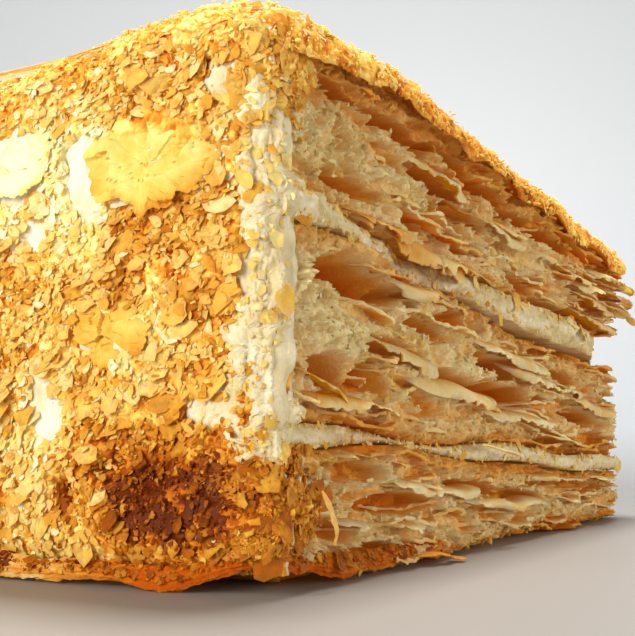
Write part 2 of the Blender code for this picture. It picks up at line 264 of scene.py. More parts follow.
def foodMaterial(name, look):
    # colour: the piece's own attribute, shifted by mottling, read off a ramp; a second attribute makes it
    # browner,
    #  for real baking and as painted shade in recesses. Fine and coarse noise give the bumps.
    material = bpy.data.materials.new(name)
    material.use_nodes = True
    material.cycles.emission_sampling = "NONE"
    tree = material.node_tree
    link = tree.links.new
    shader = tree.nodes["Principled BSDF"]
    place = addNode(tree, "ShaderNodeTexCoord")
    driver = addNode(tree, "ShaderNodeAttribute", attribute_name=look["driver"])
    mottle = addNode(tree, "ShaderNodeTexNoise", Scale=look["mottleScale"], Detail=4.0, Roughness=0.6)
    link(place.outputs["Object"], mottle.inputs["Vector"])
    shift = addNode(tree, "ShaderNodeMath", operation="MULTIPLY_ADD")
    link(mottle.outputs["Fac"], shift.inputs[0])
    shift.inputs[1].default_value = look["mottleStrength"]
    shift.inputs[2].default_value = -look["mottleStrength"] / 2
    total = addNode(tree, "ShaderNodeMath", operation="ADD")
    link(driver.outputs["Fac"], total.inputs[0])
    link(shift.outputs[0], total.inputs[1])
    ramp = addRamp(tree, look["colours"])
    link(total.outputs[0], ramp.inputs["Fac"])
    colour = ramp.outputs["Color"]
    if "bakedColours" in look:
        baked = addRamp(tree, look["bakedColours"])
        link(total.outputs[0], baked.inputs["Fac"])
        bake = addNode(tree, "ShaderNodeAttribute", attribute_name="bake")
        blotch = addNode(tree, "ShaderNodeTexNoise", Scale=look["blotchScale"], Detail=3.0)
        link(place.outputs["Object"], blotch.inputs["Vector"])
        amount = addNode(tree, "ShaderNodeMath", operation="MULTIPLY_ADD", use_clamp=True)
        link(blotch.outputs["Fac"], amount.inputs[0])
        amount.inputs[1].default_value = look["blotchStrength"]
        link(bake.outputs["Fac"], amount.inputs[2])
        blend = addNode(tree, "ShaderNodeMix", data_type="RGBA")
        link(amount.outputs[0], blend.inputs["Factor"])
        link(colour, blend.inputs["A"])
        link(baked.outputs["Color"], blend.inputs["B"])
        colour = blend.outputs["Result"]
    link(colour, shader.inputs["Base Color"])
    grain = addNode(tree, "ShaderNodeTexNoise", Scale=look["grainScale"], Detail=5.0, Roughness=0.65)
    link(place.outputs["Object"], grain.inputs["Vector"])
    bump = addNode(tree, "ShaderNodeBump", Strength=look["bumpStrength"], Distance=look["bumpDepth"])
    link(grain.outputs["Fac"], bump.inputs["Height"])
    link(bump.outputs["Normal"], shader.inputs["Normal"])
    rough = addNode(tree, "ShaderNodeMapRange")
    rough.inputs["To Min"].default_value = look["roughness"][0]
    rough.inputs["To Max"].default_value = look["roughness"][1]
    link(grain.outputs["Fac"], rough.inputs["Value"])
    link(rough.outputs["Result"], shader.inputs["Roughness"])
    shader.inputs["Subsurface Weight"].default_value = look["glow"]
    shader.inputs["Subsurface Radius"].default_value = look["glowRadius"]
    shader.inputs["Subsurface Scale"].default_value = look["glowScale"]
    shader.inputs["Specular IOR Level"].default_value = look["shine"]
    shader.inputs["Specular Tint"].default_value = (1.0, 0.80, 0.52, 1.0)
    # painted glow: the base colour is also emitted, by the depth attribute on pastry and by the mottling
    # elsewhere
    link(colour, shader.inputs["Emission Color"])
    through = addNode(tree, "ShaderNodeMath", operation="MULTIPLY", use_clamp=True)
    link(total.outputs[0] if look["driver"] == "depth" else mottle.outputs["Fac"], through.inputs[0])
    through.inputs[1].default_value = look["through"]
    link(through.outputs[0], shader.inputs["Emission Strength"])
    return material


# Pastry colour follows the depth attribute: deeper places are painted darker and more orange, painted shade
# in the pockets
crumbLook = {
    "driver": "depth",
    "colours": [
        (0.0, (243, 226, 176)), (0.22, (235, 205, 138)), (0.5, (221, 160, 66)), (1.0, (202, 112, 12)),
    ],
    "bakedColours": [(0.0, (228, 166, 78)), (0.4, (214, 128, 32)), (1.0, (176, 74, 2))],
    "mottleScale": 1100.0, "mottleStrength": 0.40,
    "blotchScale": 240.0, "blotchStrength": 0.30,
    "grainScale": 2500.0, "bumpStrength": 0.80, "bumpDepth": 0.42 * mm,
    "roughness": (0.45, 0.75), "glow": 0.40, "glowRadius": (1.0, 0.55, 0.14), "glowScale": 1.8 * mm,
    "shine": 0.14,
    "through": 0.16,            # painted glow: the colour is emitted, standing in for light that comes through thin leaves from behind, most in deep places
}
leafLook = dict(crumbLook, **{
    "colours": [
        (0.0, (245, 227, 176)), (0.25, (237, 204, 134)), (0.6, (222, 160, 64)), (1.0, (202, 112, 12)),
    ],
    "bakedColours": [(0.0, (232, 170, 80)), (0.4, (216, 126, 26)), (1.0, (180, 74, 0))],
    "roughness": (0.35, 0.62), "glow": 0.50, "shine": 0.20, "bumpStrength": 0.55, "bumpDepth": 0.30 * mm,
})
creamLook = {
    "driver": "tone",
    "colours": [
        (0.0, (192, 160, 100)), (0.35, (216, 198, 150)), (0.7, (230, 218, 182)), (1.0, (244, 238, 216)),
    ],
    "mottleScale": 800.0, "mottleStrength": 0.50,
    "grainScale": 2600.0, "bumpStrength": 0.7, "bumpDepth": 0.40 * mm,
    "roughness": (0.40, 0.65), "glow": 0.25, "glowRadius": (1.0, 0.85, 0.6), "glowScale": 0.9 * mm,
    # the last value is the strength of the painted glow
    "shine": 0.25, "through": 0.06,
}
flakeLook = {
    "driver": "tone",
    "colours": [
        (0.0, (96, 32, 2)), (0.22, (184, 92, 10)), (0.45, (228, 152, 46)), (0.66, (244, 196, 94)),
        (0.85, (252, 226, 138)), (1.0, (255, 247, 192)),
    ],
    "mottleScale": 800.0, "mottleStrength": 0.26,
    "grainScale": 3600.0, "bumpStrength": 0.40, "bumpDepth": 0.22 * mm,
    "roughness": (0.36, 0.64), "glow": 0.50, "glowRadius": (1.0, 0.55, 0.14), "glowScale": 1.8 * mm,
    # the last value is the strength of the painted glow
    "shine": 0.18, "through": 0.08,
}

crumbMaterial = foodMaterial("torn_crumb", crumbLook)
leafMaterial = foodMaterial("pastry_leaf", leafLook)
creamMaterial = foodMaterial("whipped_cream", creamLook)
flakeMaterial = foodMaterial("golden_flake", flakeLook)
print("materials made")


def crown(x, y):
    # a smooth bell over both directions near the front coated corner
    (midX, midY), (spreadX, spreadY) = sliceShape["crownMiddle"], sliceShape["crownSpread"]
    return sliceShape["crownHeight"] * bell(x, midX, spreadX) * bell(y, midY, spreadY)


# Where a level rises or dips along the front cut: middle and spread along X (mm), how much (mm)
levelBends = {
    "topTop": [(-31.0, 15.0, 3.0), (2.0, 32.0, 3.2)],
    "middleTop": [(-36.0, 18.0, 1.3), (-14.0, 9.0, 0.9)],
    "upperCreamTop": [(-20.0, 11.0, -1.0), (59.0, 9.0, 2.6)],
    "bottomTop": [(-24.0, 17.0, 0.8)], "lowerCreamTop": [(-24.0, 17.0, -0.8)],
}


def levelHeight(name, x, y):
    # a straight slope from the near end to the far end, with slow waves and the bends of levelBends;
    # the crown on the top
    near, far = levels[name]
    along = (x - sliceShape["nearX"]) / (sliceShape["farX"] - sliceShape["nearX"])
    height = near + (far - near) * along
    if name == "table":
        return height
    phase = near * 400
    height = height + sliceShape["surfaceWave"] * (np.sin(x * 150 + phase) + np.cos(y * 120 - phase))
    for middle, spread, much in levelBends.get(name, []):
        height = height + much * mm * bell(x, middle * mm, spread * mm) * smoothStep(-8 * mm, -22 * mm, y)
    return height + crown(x, y) if name == "topTop" else height


underCrust = 2.2 * mm   # the top layer's torn pastry ends this far under the highest flakes


def layerLevels(layer, x, y):
    # where a pastry layer begins and ends
    return (levelHeight(layer["floor"], x, y),
            levelHeight(layer["roof"], x, y) - underCrust * (layer["roof"] == "topTop"))


def onFront(gone):
    # whether a place along the outline is on the front cut
    return gone < sliceShape["farX"] - sliceShape["tornX"]


def sliceOutline(frontStep, farStep, backStep, coatStep=4 * mm):
    # once round the slice from above: front cut, far end, back cut, coated end. Straight runs and
    # two quarter circles; gives place, way out, and the distance gone along it
    radius, width = sliceShape["cornerRadius"], sliceShape["halfWidth"]
    near, far = sliceShape["tornX"], sliceShape["farX"]

    def run(start, end, step):
        count = max(2, round(abs(end - start) / step))
        return start + (end - start) * np.arange(count) / count

    def bend(middleY, startAngle):
        count = max(4, round(radius * math.pi / 2 / farStep))
        angle = np.radians(startAngle + 90 * np.arange(count) / count)
        way = (np.cos(angle), np.sin(angle))
        return far - radius + radius * way[0], middleY + radius * way[1], *way

    parts = [
        (run(near, far - radius, frontStep), -width, 0.0, -1.0),
        bend(radius - width, -90),
        (far, run(radius - width, width - radius, farStep), 1.0, 0.0),
        bend(width - radius, 0),
        (run(far - radius, near, backStep), width, 0.0, 1.0),
        (near, run(width, -width, coatStep), -1.0, 0.0),
    ]
    joined = [np.concatenate(column) for column in zip(*[np.broadcast_arrays(*part) for part in parts])]
    x, y, outX, outY = joined
    gone = np.concatenate([[0.0], np.cumsum(np.hypot(np.diff(x), np.diff(y)))])
    return {"x": x, "y": y, "outX": outX, "outY": outY, "gone": gone}


pastryLayers = {
    "bottom_pastry": {
        "node": "pastry_bottom", "floor": "table", "roof": "bottomTop", "leaves": 7, "seed": 11,
        "farReach": (3.4 * mm, 3.8 * mm), "slot": "baked_pastry",
        # pockets: middle along X, middle height, half length, half height, depth
        "pockets": [
            (-28.0, 7.5, 10.0, 1.5, 5.5), (-6.0, 8.2, 9.0, 1.0, 6.0), (12.0, 6.0, 12.0, 1.1, 4.5),
            (-44.0, 4.6, 5.0, 1.6, 3.5), (-40.0, 11.5, 8.0, 1.4, 4.5), (33.0, 6.8, 10.0, 0.8, 3.5),
        ],
        "crustFloor": 0.9, "crustRoof": 0.9,
        # crumbly places: middle along X, middle height, half length, half height, how crumbly
        "crumbly": [(-50.0, 8.0, 8.0, 8.0, 1.0), (-14.0, 4.0, 12.0, 3.0, 0.6)],
    },
    "middle_pastry": {
        "node": "pastry_middle", "floor": "lowerCreamTop", "roof": "middleTop", "leaves": 10, "seed": 23,
        "farReach": (3.8 * mm, 0.2 * mm), "slot": "baked_pastry",
        "pockets": [
            (-40.0, 32.6, 12.0, 2.2, 8.0), (-45.5, 21.5, 5.0, 2.6, 6.0), (-30.0, 25.5, 8.0, 1.5, 5.5),
            (-12.0, 21.5, 12.0, 1.7, 6.0), (-20.0, 28.6, 7.0, 1.2, 6.0), (4.0, 24.5, 12.0, 1.8, 6.0),
            (7.0, 20.2, 12.0, 2.4, 7.0), (36.0, 17.5, 9.0, 1.4, 6.0), (30.0, 23.8, 9.0, 1.2, 5.0),
            (-36.0, 22.0, 6.0, 2.0, 4.5),
        ],
        "crustFloor": 0.8, "crustRoof": 0.8,
        # lumps: middle along X, middle height, half length, half height, how far out
        "bulges": [(-54.0, 33.0, 4.5, 3.6, 1.9), (-40.0, 36.2, 13.0, 1.2, 2.2), (-46.0, 27.5, 6.0, 2.5, 0.8)],
        "crumbly": [(-44.0, 26.5, 11.0, 4.0, 1.0), (-52.0, 30.0, 5.0, 9.0, 0.9), (2.0, 30.0, 14.0, 2.0, 0.5)],
    },
    "top_pastry": {
        "node": "pastry_top", "floor": "upperCreamTop", "roof": "topTop", "leaves": 10, "seed": 37,
        "farReach": (3.0 * mm, 8.6 * mm), "slot": "flaky_crust", "square": 1.5 * mm, "crustSpread": 5.5 * mm,
        "pockets": [
            (-43.0, 53.0, 7.0, 0.8, 6.5), (-28.0, 51.7, 10.0, 1.5, 8.5), (-12.5, 51.0, 8.0, 0.9, 7.0),
            (-17.0, 47.6, 12.0, 1.9, 7.0), (-8.0, 44.5, 8.0, 1.4, 5.0),
            (20.0, 45.4, 19.0, 1.3, 8.0), (1.0, 48.8, 9.0, 0.9, 6.0), (-40.0, 43.4, 7.0, 1.3, 4.5),
            (-44.5, 49.6, 1.1, 1.3, 3.5), (12.0, 37.4, 8.0, 1.1, 5.5), (-25.0, 41.4, 7.0, 1.5, 4.5),
            (40.0, 34.0, 8.0, 1.6, 6.5), (24.0, 34.4, 8.0, 0.9, 4.5), (50.0, 41.6, 6.0, 0.8, 5.0),
        ],
        "crustFloor": 0.8, "crustRoof": 1.0,
        "crumbly": [
            (-44.0, 47.5, 14.0, 6.0, 1.0), (-24.0, 45.5, 10.0, 3.5, 0.8), (0.0, 41.0, 16.0, 3.0, 0.6),
        ],
    },
}

tornFace = {
    "rowStep": 0.27 * mm,
    "steps": (0.22 * mm, 0.55 * mm, 0.60 * mm),
    "largePocket": (15.0 * mm, 1.7),      # length, height in leaves
    "largeDepth": 5.2 * mm,
    "smallPocket": (5.0 * mm, 0.85),
    "smallDepth": 2.2 * mm,
    # round pores: size, depth, share of the cells that have none
    "pores": [(3.0 * mm, 1.8 * mm, 0.60), (1.3 * mm, 0.9 * mm, 0.35), (0.65 * mm, 0.50 * mm, 0.2)],
    "jag": 0.10,                          # how jagged the pockets' rims are
    "crease": 1.3 * mm,                   # folds on the smooth walls inside pockets
    "swell": 1.1 * mm,                    # slow bulges of the whole face
    "ragged": 0.34 * mm,
    "edgeTuck": 0.9 * mm,                 # a layer's top and bottom edges draw in
    "depthShade": 7.5 * mm,               # a pocket this deep has the deepest colour, its darkest painted shade
    "closing": (0.25, 0.5, 0.7, 0.84, 0.93, 0.97),  # rings that close a layer, as shares of the outline
    "furthestOut": 1.9 * mm, "furthestIn": 9 * mm,
    "pocketPaintedShade": (0.60, 2.5 * mm, 7.0 * mm),  # painted shade: how much browner pockets are, from and to this depth
    "farBrowner": (0.20, -15 * mm, 35 * mm),      # how much browner towards the far end, from and to this place along X
    "topBumps": 0.7 * mm,
}


def pocketDepth(layer, gone, x, height):
    # the listed pockets: deepest inside an ellipse along the leaves' slope, with a wavy rim
    deepest = 0.0
    wave = 1 + 0.35 * smoothNoise(layer["seed"] + 17, gone / (3.5 * mm), height / (1.8 * mm))
    for middle, level, halfLong, halfTall, deep in layer["pockets"]:
        leafSlope = -0.07 - 0.03 * (level > 12)
        rise = height - level * mm - leafSlope * (x - middle * mm)
        away = np.hypot((x - middle * mm) / (halfLong * mm), rise / (halfTall * mm)) * wave
        deepest = np.maximum(deepest, deep * mm * smoothStep(1.05, 0.60, away))
    return deepest * onFront(gone)


def bulgeOut(layer, gone, x, height):
    # how far the listed lumps stand out of the torn face
    out = 0.0
    for middle, level, halfLong, halfTall, much in layer.get("bulges", []):
        rise = height - level * mm + 0.08 * (x - middle * mm)
        out = out + much * mm * bellAt(x, rise, middle, 0, halfLong, halfTall)
    return out * onFront(gone)


def crumbliness(layer, gone, x, height):
    # 1 where the torn face is a porous crumb, 0 where it is open leaves
    amount = 0.25 + 0.35 * smoothNoise(layer["seed"] + 31, gone / (12 * mm), height / (4 * mm))
    for middle, level, halfLong, halfTall, much in layer["crumbly"]:
        rise = height - level * mm + 0.08 * (x - middle * mm)
        there = bellAt(x, rise, middle, 0, halfLong, halfTall)
        amount = np.maximum(amount, 1.3 * much * there * onFront(gone))
    return np.clip(amount, 0, 1)


def tornDepth(layer, gone, x, height, share):
    # how far the torn face goes in: large and small pockets are cells stretched along the leaves,
    # deepest in their middles and creased inside, with round pores and fine raggedness on the
    # walls between them; crumbly places have round pores of several sizes instead
    seed, leaves = layer["seed"], layer["leaves"]
    crumbly = crumbliness(layer, gone, x, height)
    flow = share * leaves + 0.7 * smoothNoise(seed, gone / (19 * mm), share * 1.5)
    flow = flow + 0.3 * smoothNoise(seed + 3, gone / (6 * mm), share * 4)
    jag = tornFace["jag"] * roughNoise(seed + 35, 3, gone / (1.5 * mm), height / (0.9 * mm))
    length, tall = tornFace["largePocket"]
    wall, number, _, _ = cellular(seed + 5, gone / length + 0.4 * jag, flow / tall + jag)
    hollow = smoothStep(0.05, 0.30, wall)
    depth = tornFace["largeDepth"] * number ** 1.5 * hollow * (1 - 0.85 * crumbly)
    length, tall = tornFace["smallPocket"]
    wall, number, _, _ = cellular(seed + 9, gone / length + 0.2 * flow + jag, flow / tall + 1.5 * jag)
    small = tornFace["smallDepth"] * number ** 1.2 * smoothStep(0.04, 0.34, wall)
    depth = depth + small * (1 - 0.6 * hollow) * (1 - 0.6 * crumbly)
    named = pocketDepth(layer, gone, x, height)
    depth = np.maximum(depth * (1 - 0.5 * (named > 0)), named)
    rim = 1 - smoothStep(0.4 * mm, 2.5 * mm, depth)
    creases = facets(seed + 41, gone + 0.6 * height, height, 5.0 * mm, 2.2 * mm)
    depth = depth + tornFace["crease"] * creases * smoothStep(1.5 * mm, 4.5 * mm, depth)
    for size, deep, part in tornFace["pores"]:
        wander = 0.35 * smoothNoise(seed + 33, gone / (0.8 * size), height / (0.8 * size))
        across, up = gone / size + wander, height / (0.75 * size) + wander
        wall, number, _, _ = cellular(seed + int(size * 1e5), across, up)
        pit = deep * np.clip(number * 2 - 2 * part, 0, 1) * smoothStep(0.04, 0.34, wall)
        depth = depth + pit * (0.3 + 0.7 * rim) * (0.45 + 0.8 * crumbly)
    depth = depth + tornFace["swell"] * smoothNoise(seed + 19, gone / (13 * mm), height / (6 * mm))
    depth = depth - bulgeOut(layer, gone, x, height)
    fine = roughNoise(seed + 21, 3, gone / (1.1 * mm), height / (0.7 * mm))
    return depth + tornFace["ragged"] * fine * (0.3 + 0.8 * rim), rim


def farFlare(x):
    # the far end is a little wider: y grows by this share
    return 1 + sliceShape["flare"] * smoothStep(sliceShape["farX"] - 40 * mm, sliceShape["farX"], x)


def farStretch(layer, x, share):
    # the far end leans out by farReach, from the floor's to the roof's, over its last 25 mm
    low, high = layer["farReach"]
    return smoothStep(sliceShape["farX"] - 25 * mm, sliceShape["farX"], x) * (low + (high - low) * share)


# How far the slice's underside stands off the table: at the far end, more at the coated end, and
# where along X it comes down
footLift = {"far": 0.4 * mm, "more": 2.2 * mm, "from": -55.0 * mm, "to": -36.0 * mm}


def footHeight(x):
    # eased down from the coated end's lift to the far end's
    return footLift["far"] + footLift["more"] * (1 - smoothStep(footLift["from"], footLift["to"], x))


def closedRows(sideRows, closing):
    # for each ring of a body: its share of the outline, and its share of the way up
    closing = np.array(closing)
    pull = np.concatenate([closing, np.ones(sideRows + 1), closing[::-1]])
    flat = np.zeros(len(closing))
    share = np.concatenate([flat, np.linspace(0, 1, sideRows + 1), flat + 1])
    return pull[:, None], share[:, None]


def tornBody(name, layer):
    # the outline carried up from floor to roof and dented by tornDepth, then drawn in towards the
    # middle in rings to close it above and below
    outline = sliceOutline(*tornFace["steps"])
    tall = levels[layer["roof"]][0] - levels[layer["floor"]][0]
    sideRows = int(tall / tornFace["rowStep"])
    pull, share = closedRows(sideRows, tornFace["closing"])
    x, y = outline["x"][None, :], outline["y"][None, :]
    gap = sliceShape["faceGap"]
    low, high = layerLevels(layer, x, y)
    height = low + gap + (high - low - 2 * gap) * share
    depth, rim = tornDepth(layer, outline["gone"][None, :], x, height, share)
    fromEdge = np.minimum(share, 1 - share) * (high - low)
    depth = depth + tornFace["edgeTuck"] * np.clip(1 - fromEdge / (1.2 * mm), 0, 1) ** 2
    besideCoat = 1 - smoothStep(sliceShape["tornX"], sliceShape["tornX"] + 4 * mm, x)
    depth = depth * (1 - 0.6 * besideCoat) + 1.4 * mm * besideCoat ** 2
    depth = depth - layer.get("square", 0) * (2 * outline["outX"] * outline["outY"])[None, :] ** 2
    depth = np.where(outline["outX"][None, :] < -0.5, 0.4 * mm, depth)
    depth = np.clip(depth, -tornFace["furthestOut"], tornFace["furthestIn"])
    outX, outY = outline["outX"][None, :], outline["outY"][None, :]
    middle = (sliceShape["nearX"] + sliceShape["farX"]) / 2
    placeX = middle + (x - outX * depth + farStretch(layer, x, share) - middle) * pull
    placeY = (y - outY * depth) * pull * farFlare(x)
    low, high = layerLevels(layer, placeX, placeY)
    if layer["floor"] == "table":
        low = low + footHeight(placeX) * smoothStep(0.84, 1.0, pull)
    placeZ = low + gap + (high - low - 2 * gap) * share
    if layer["roof"] == "topTop":
        bumps = tornFace["topBumps"] * roughNoise(5, 3, placeX / (5 * mm), placeY / (5 * mm))
        placeZ = placeZ + bumps * smoothStep(0.9, 1, share)
    points, faces = loftRings(np.stack(np.broadcast_arrays(placeX, placeY, placeZ), -1))
    # painted shade: the colour darkens the deeper the face goes in and away from the rims
    deepness = np.clip(depth / tornFace["depthShade"], 0, 1) + 0.15 * (1 - rim)
    floorCrust = layer["crustFloor"] * bell(share * (high - low), 0, 1.3 * mm)
    roofCrust = layer["crustRoof"] * bell((1 - share) * (high - low), 0, layer.get("crustSpread", 2.0 * mm))
    bake = np.maximum(floorCrust, roofCrust)
    # browner in the crust bands from real baking, in deep pockets as painted shade, and towards the far end
    for (more, start, full), place in ((tornFace["pocketPaintedShade"], depth), (tornFace["farBrowner"], x)):
        bake = bake + more * smoothStep(start, full, place)
    deepness, bake = (np.append(np.broadcast_to(shade, placeX.shape).ravel(), [0.5, 0.5])
                      for shade in (deepness, bake))
    piece = addPiece(name + "_crumb", points, faces, crumbMaterial, layer["slot"], depth=deepness, bake=bake)
    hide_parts(layer["node"])
    return {"points": points, "bake": bake, "outline": outline, "rows": share.size, "rim": rim}


leafSheets = {
    "steps": (0.40 * mm, 0.8 * mm, 0.9 * mm),
    "reach": [0.0, -0.12, -0.45, -1.1, -2.4, -5.5],  # cross-section places from the torn edge inwards, mm
    "thin": 0.09 * mm,
    "bead": 0.20 * mm,          # the torn edge is thicker and rough
    "stand": -0.35 * mm,        # how far edges stand out on average
    "tear": (1.9 * mm, 0.9 * mm, 0.35 * mm),  # slow, middling and fine tearing
    "furthest": 2.0 * mm, "deepest": 7.0 * mm,
    "besideCoat": (5 * mm, 0.8 * mm),   # over this length the leaves draw in this far
    "crumple": 0.12 * mm,
    "crumbPull": 2.2 * mm,      # leaves draw in where the face is crumbly
    "wave": 0.55,               # rise and dip, as a share of the space between leaves
    "curl": 0.8 * mm,
}


def leafPiece(name, layer):
    # each leaf: a thin cross-section with a thick torn edge, carried once round the outline; its
    # edge stands out by slow, middling and fine noise, and its height waves between its neighbours
    outline = sliceOutline(*leafSheets["steps"])
    gone, x, y = outline["gone"], outline["x"], outline["y"]
    reach = np.array(leafSheets["reach"]) * mm
    reach = np.concatenate([reach, reach[:0:-1]])
    side = np.concatenate([[0.0], np.ones(5), -np.ones(5)])
    count = layer["leaves"]
    shapes, depths, bakes = [], [], []
    for number in range(count):
        seed = layer["seed"] * 100 + number * 7
        share = (number + 0.5 + 0.3 * (cellHash(seed, np.array([number]))[0] - 0.5)) / count
        wave = smoothNoise(seed, gone / (17 * mm)) + 0.35 * smoothNoise(seed + 1, gone / (5 * mm))
        share = np.clip(share + leafSheets["wave"] / count * wave, 0.01, 0.99)
        slow, middling, fine = leafSheets["tear"]
        stand = leafSheets["stand"] + slow * smoothNoise(seed + 2, gone / (11 * mm))
        stand = stand + middling * roughNoise(seed + 3, 2, gone / (3.2 * mm))
        stand = stand + fine * roughNoise(seed + 4, 2, gone / (0.8 * mm))
        low, high = layerLevels(layer, x, y)
        low = low + footHeight(x) * (layer["floor"] == "table")
        height = low + (high - low) * share
        inPocket = pocketDepth(layer, gone, x, height)
        stand = stand - 0.8 * inPocket - leafSheets["crumbPull"] * crumbliness(layer, gone, x, height)
        stand = np.clip(stand, -leafSheets["deepest"], leafSheets["furthest"])
        length, drawn = leafSheets["besideCoat"]
        besideCoat = 1 - smoothStep(sliceShape["tornX"], sliceShape["tornX"] + length, x)
        stand = stand * (1 - besideCoat) - drawn * besideCoat
        stand = np.where(outline["outX"] < -0.5, -1.5 * mm, stand)
        bead = leafSheets["bead"] * (0.7 + 0.9 * np.clip(roughNoise(seed + 5, 2, gone / (1.0 * mm)), -0.6, 1))
        half = leafSheets["thin"] + bead[:, None] * np.exp(reach[None, :] / (0.45 * mm))
        curl = leafSheets["curl"] * smoothNoise(seed + 6, gone / (7 * mm))
        bend = curl[:, None] * np.clip(1 + reach[None, :] / (5.5 * mm), 0, 1) ** 2.5
        bend = bend - 0.35 * np.clip(stand[:, None], 0, None) * np.exp(reach[None, :] / mm)
        out = stand[:, None] + reach[None, :]
        placeX = x[:, None] + outline["outX"][:, None] * out + farStretch(layer, x, share)[:, None]
        placeY = (y[:, None] + outline["outY"][:, None] * out) * farFlare(x)[:, None]
        crumple = roughNoise(seed + 8, 2, gone[:, None] / (1.3 * mm), out / (1.3 * mm))
        crumple = leafSheets["crumple"] * crumple
        placeZ = height[:, None] + bend + half * side[None, :] + crumple
        placeZ = np.clip(placeZ, (low - 0.1 * mm)[:, None], None)
        rings = np.stack(np.broadcast_arrays(placeX, placeY, placeZ), -1)
        around = len(reach)
        i = np.arange(len(x))[:, None]
        j = np.arange(around)[None, :]
        nextI, nextJ = (i + 1) % len(x), (j + 1) % around
        faces = np.stack([i * around + j, nextI * around + j, nextI * around + nextJ, i * around + nextJ], -1)
        shapes.append((rings.reshape(-1, 3), [faces.reshape(-1, 4)]))
        # painted shade: each leaf is darker and browner further in from its torn edge
        inward = np.clip(-reach[None, :] / (3.5 * mm), 0, 1) + 0 * gone[:, None]
        fromFloor, fromRoof = share * (high - low), (1 - share) * (high - low)
        crust = np.maximum(layer["crustFloor"] * bell(fromFloor, 0, 1.6 * mm),
                           layer["crustRoof"] * bell(fromRoof, 0, layer.get("crustSpread", 2.2 * mm)))
        own = 0.45 * smoothStep(0.15, 0.45, smoothNoise(seed + 9, gone / (14 * mm)))
        depths.append((inward + 0.1).ravel())
        bakes.append((crust[:, None] + own[:, None] + 0.35 * inward).ravel())
    points, faces = joinShapes(shapes)
    addPiece(name + "_leaves", points, faces, leafMaterial, layer["slot"],
             depth=np.concatenate(depths), bake=np.concatenate(bakes))


def crumbShape():
    # an icosahedron: twelve corners from the golden ratio, twenty faces turned outwards
    gold = (1 + 5 ** 0.5) / 2
    corners = np.array([
        (-1, gold, 0), (1, gold, 0), (-1, -gold, 0), (1, -gold, 0), (0, -1, gold), (0, 1, gold),
        (0, -1, -gold), (0, 1, -gold), (gold, 0, -1), (gold, 0, 1), (-gold, 0, -1), (-gold, 0, 1),
    ]) / math.hypot(1, gold)
    faces = np.array([
        (0, 11, 5), (0, 5, 1), (0, 1, 7), (0, 7, 10), (0, 10, 11), (1, 5, 9), (5, 11, 4), (11, 10, 2),
        (10, 7, 6), (7, 1, 8), (3, 9, 4), (3, 4, 2), (3, 2, 6), (3, 6, 8), (3, 8, 9), (4, 9, 5),
        (2, 4, 11), (6, 2, 10), (8, 6, 7), (9, 8, 1),
    ])
    return corners, faces


def crumbPiece(name, places, sizes, material, slot, seed, **values):
    # one uneven lump at each place: the shape's corners moved in or out and stretched by chance
    corners, faces = crumbShape()
    chance = np.random.default_rng(seed)
    count = len(places)
    jitter = chance.uniform(0.45, 1.5, (count, len(corners), 1))
    stretch = chance.uniform(0.3, 1.6, (count, 1, 3))
    points = corners[None] * jitter * stretch * sizes[:, None, None] + places[:, None]
    allFaces = faces[None] + np.arange(count)[:, None, None] * len(corners)
    spread = {key: np.repeat(value, len(corners)) for key, value in values.items()}
    points, allFaces = points.reshape(-1, 3), allFaces.reshape(-1, 3)
    addPiece(name, points, allFaces, material, slot, smooth=False, **spread)


def rimCrumbs(name, layer, body, count, seed):
    # crumbs sit where the torn face is highest, on the walls between pockets
    chance = np.random.default_rng(seed)
    outline = body["outline"]
    around = len(outline["x"])
    rim = np.broadcast_to(body["rim"], (body["rows"], around)).copy()
    rim[:6] = 0
    rim[-6:] = 0
    rim[:, outline["outX"] < -0.5] = 0
    weight = rim.ravel() ** 2
    chosen = chance.choice(rim.size, count, p=weight / weight.sum())
    places = body["points"][:rim.size][chosen] + chance.normal(0, 0.12 * mm, (count, 3))
    sizes = 0.12 * mm + 0.30 * mm * chance.random(count) ** 3
    bake = body["bake"][:rim.size][chosen] * 0.9
    crumbPiece(name + "_specks", places, sizes, crumbMaterial, layer["slot"], seed + 1,
               depth=chance.uniform(-0.1, 0.3, count), bake=bake + chance.uniform(-0.15, 0.2, count))


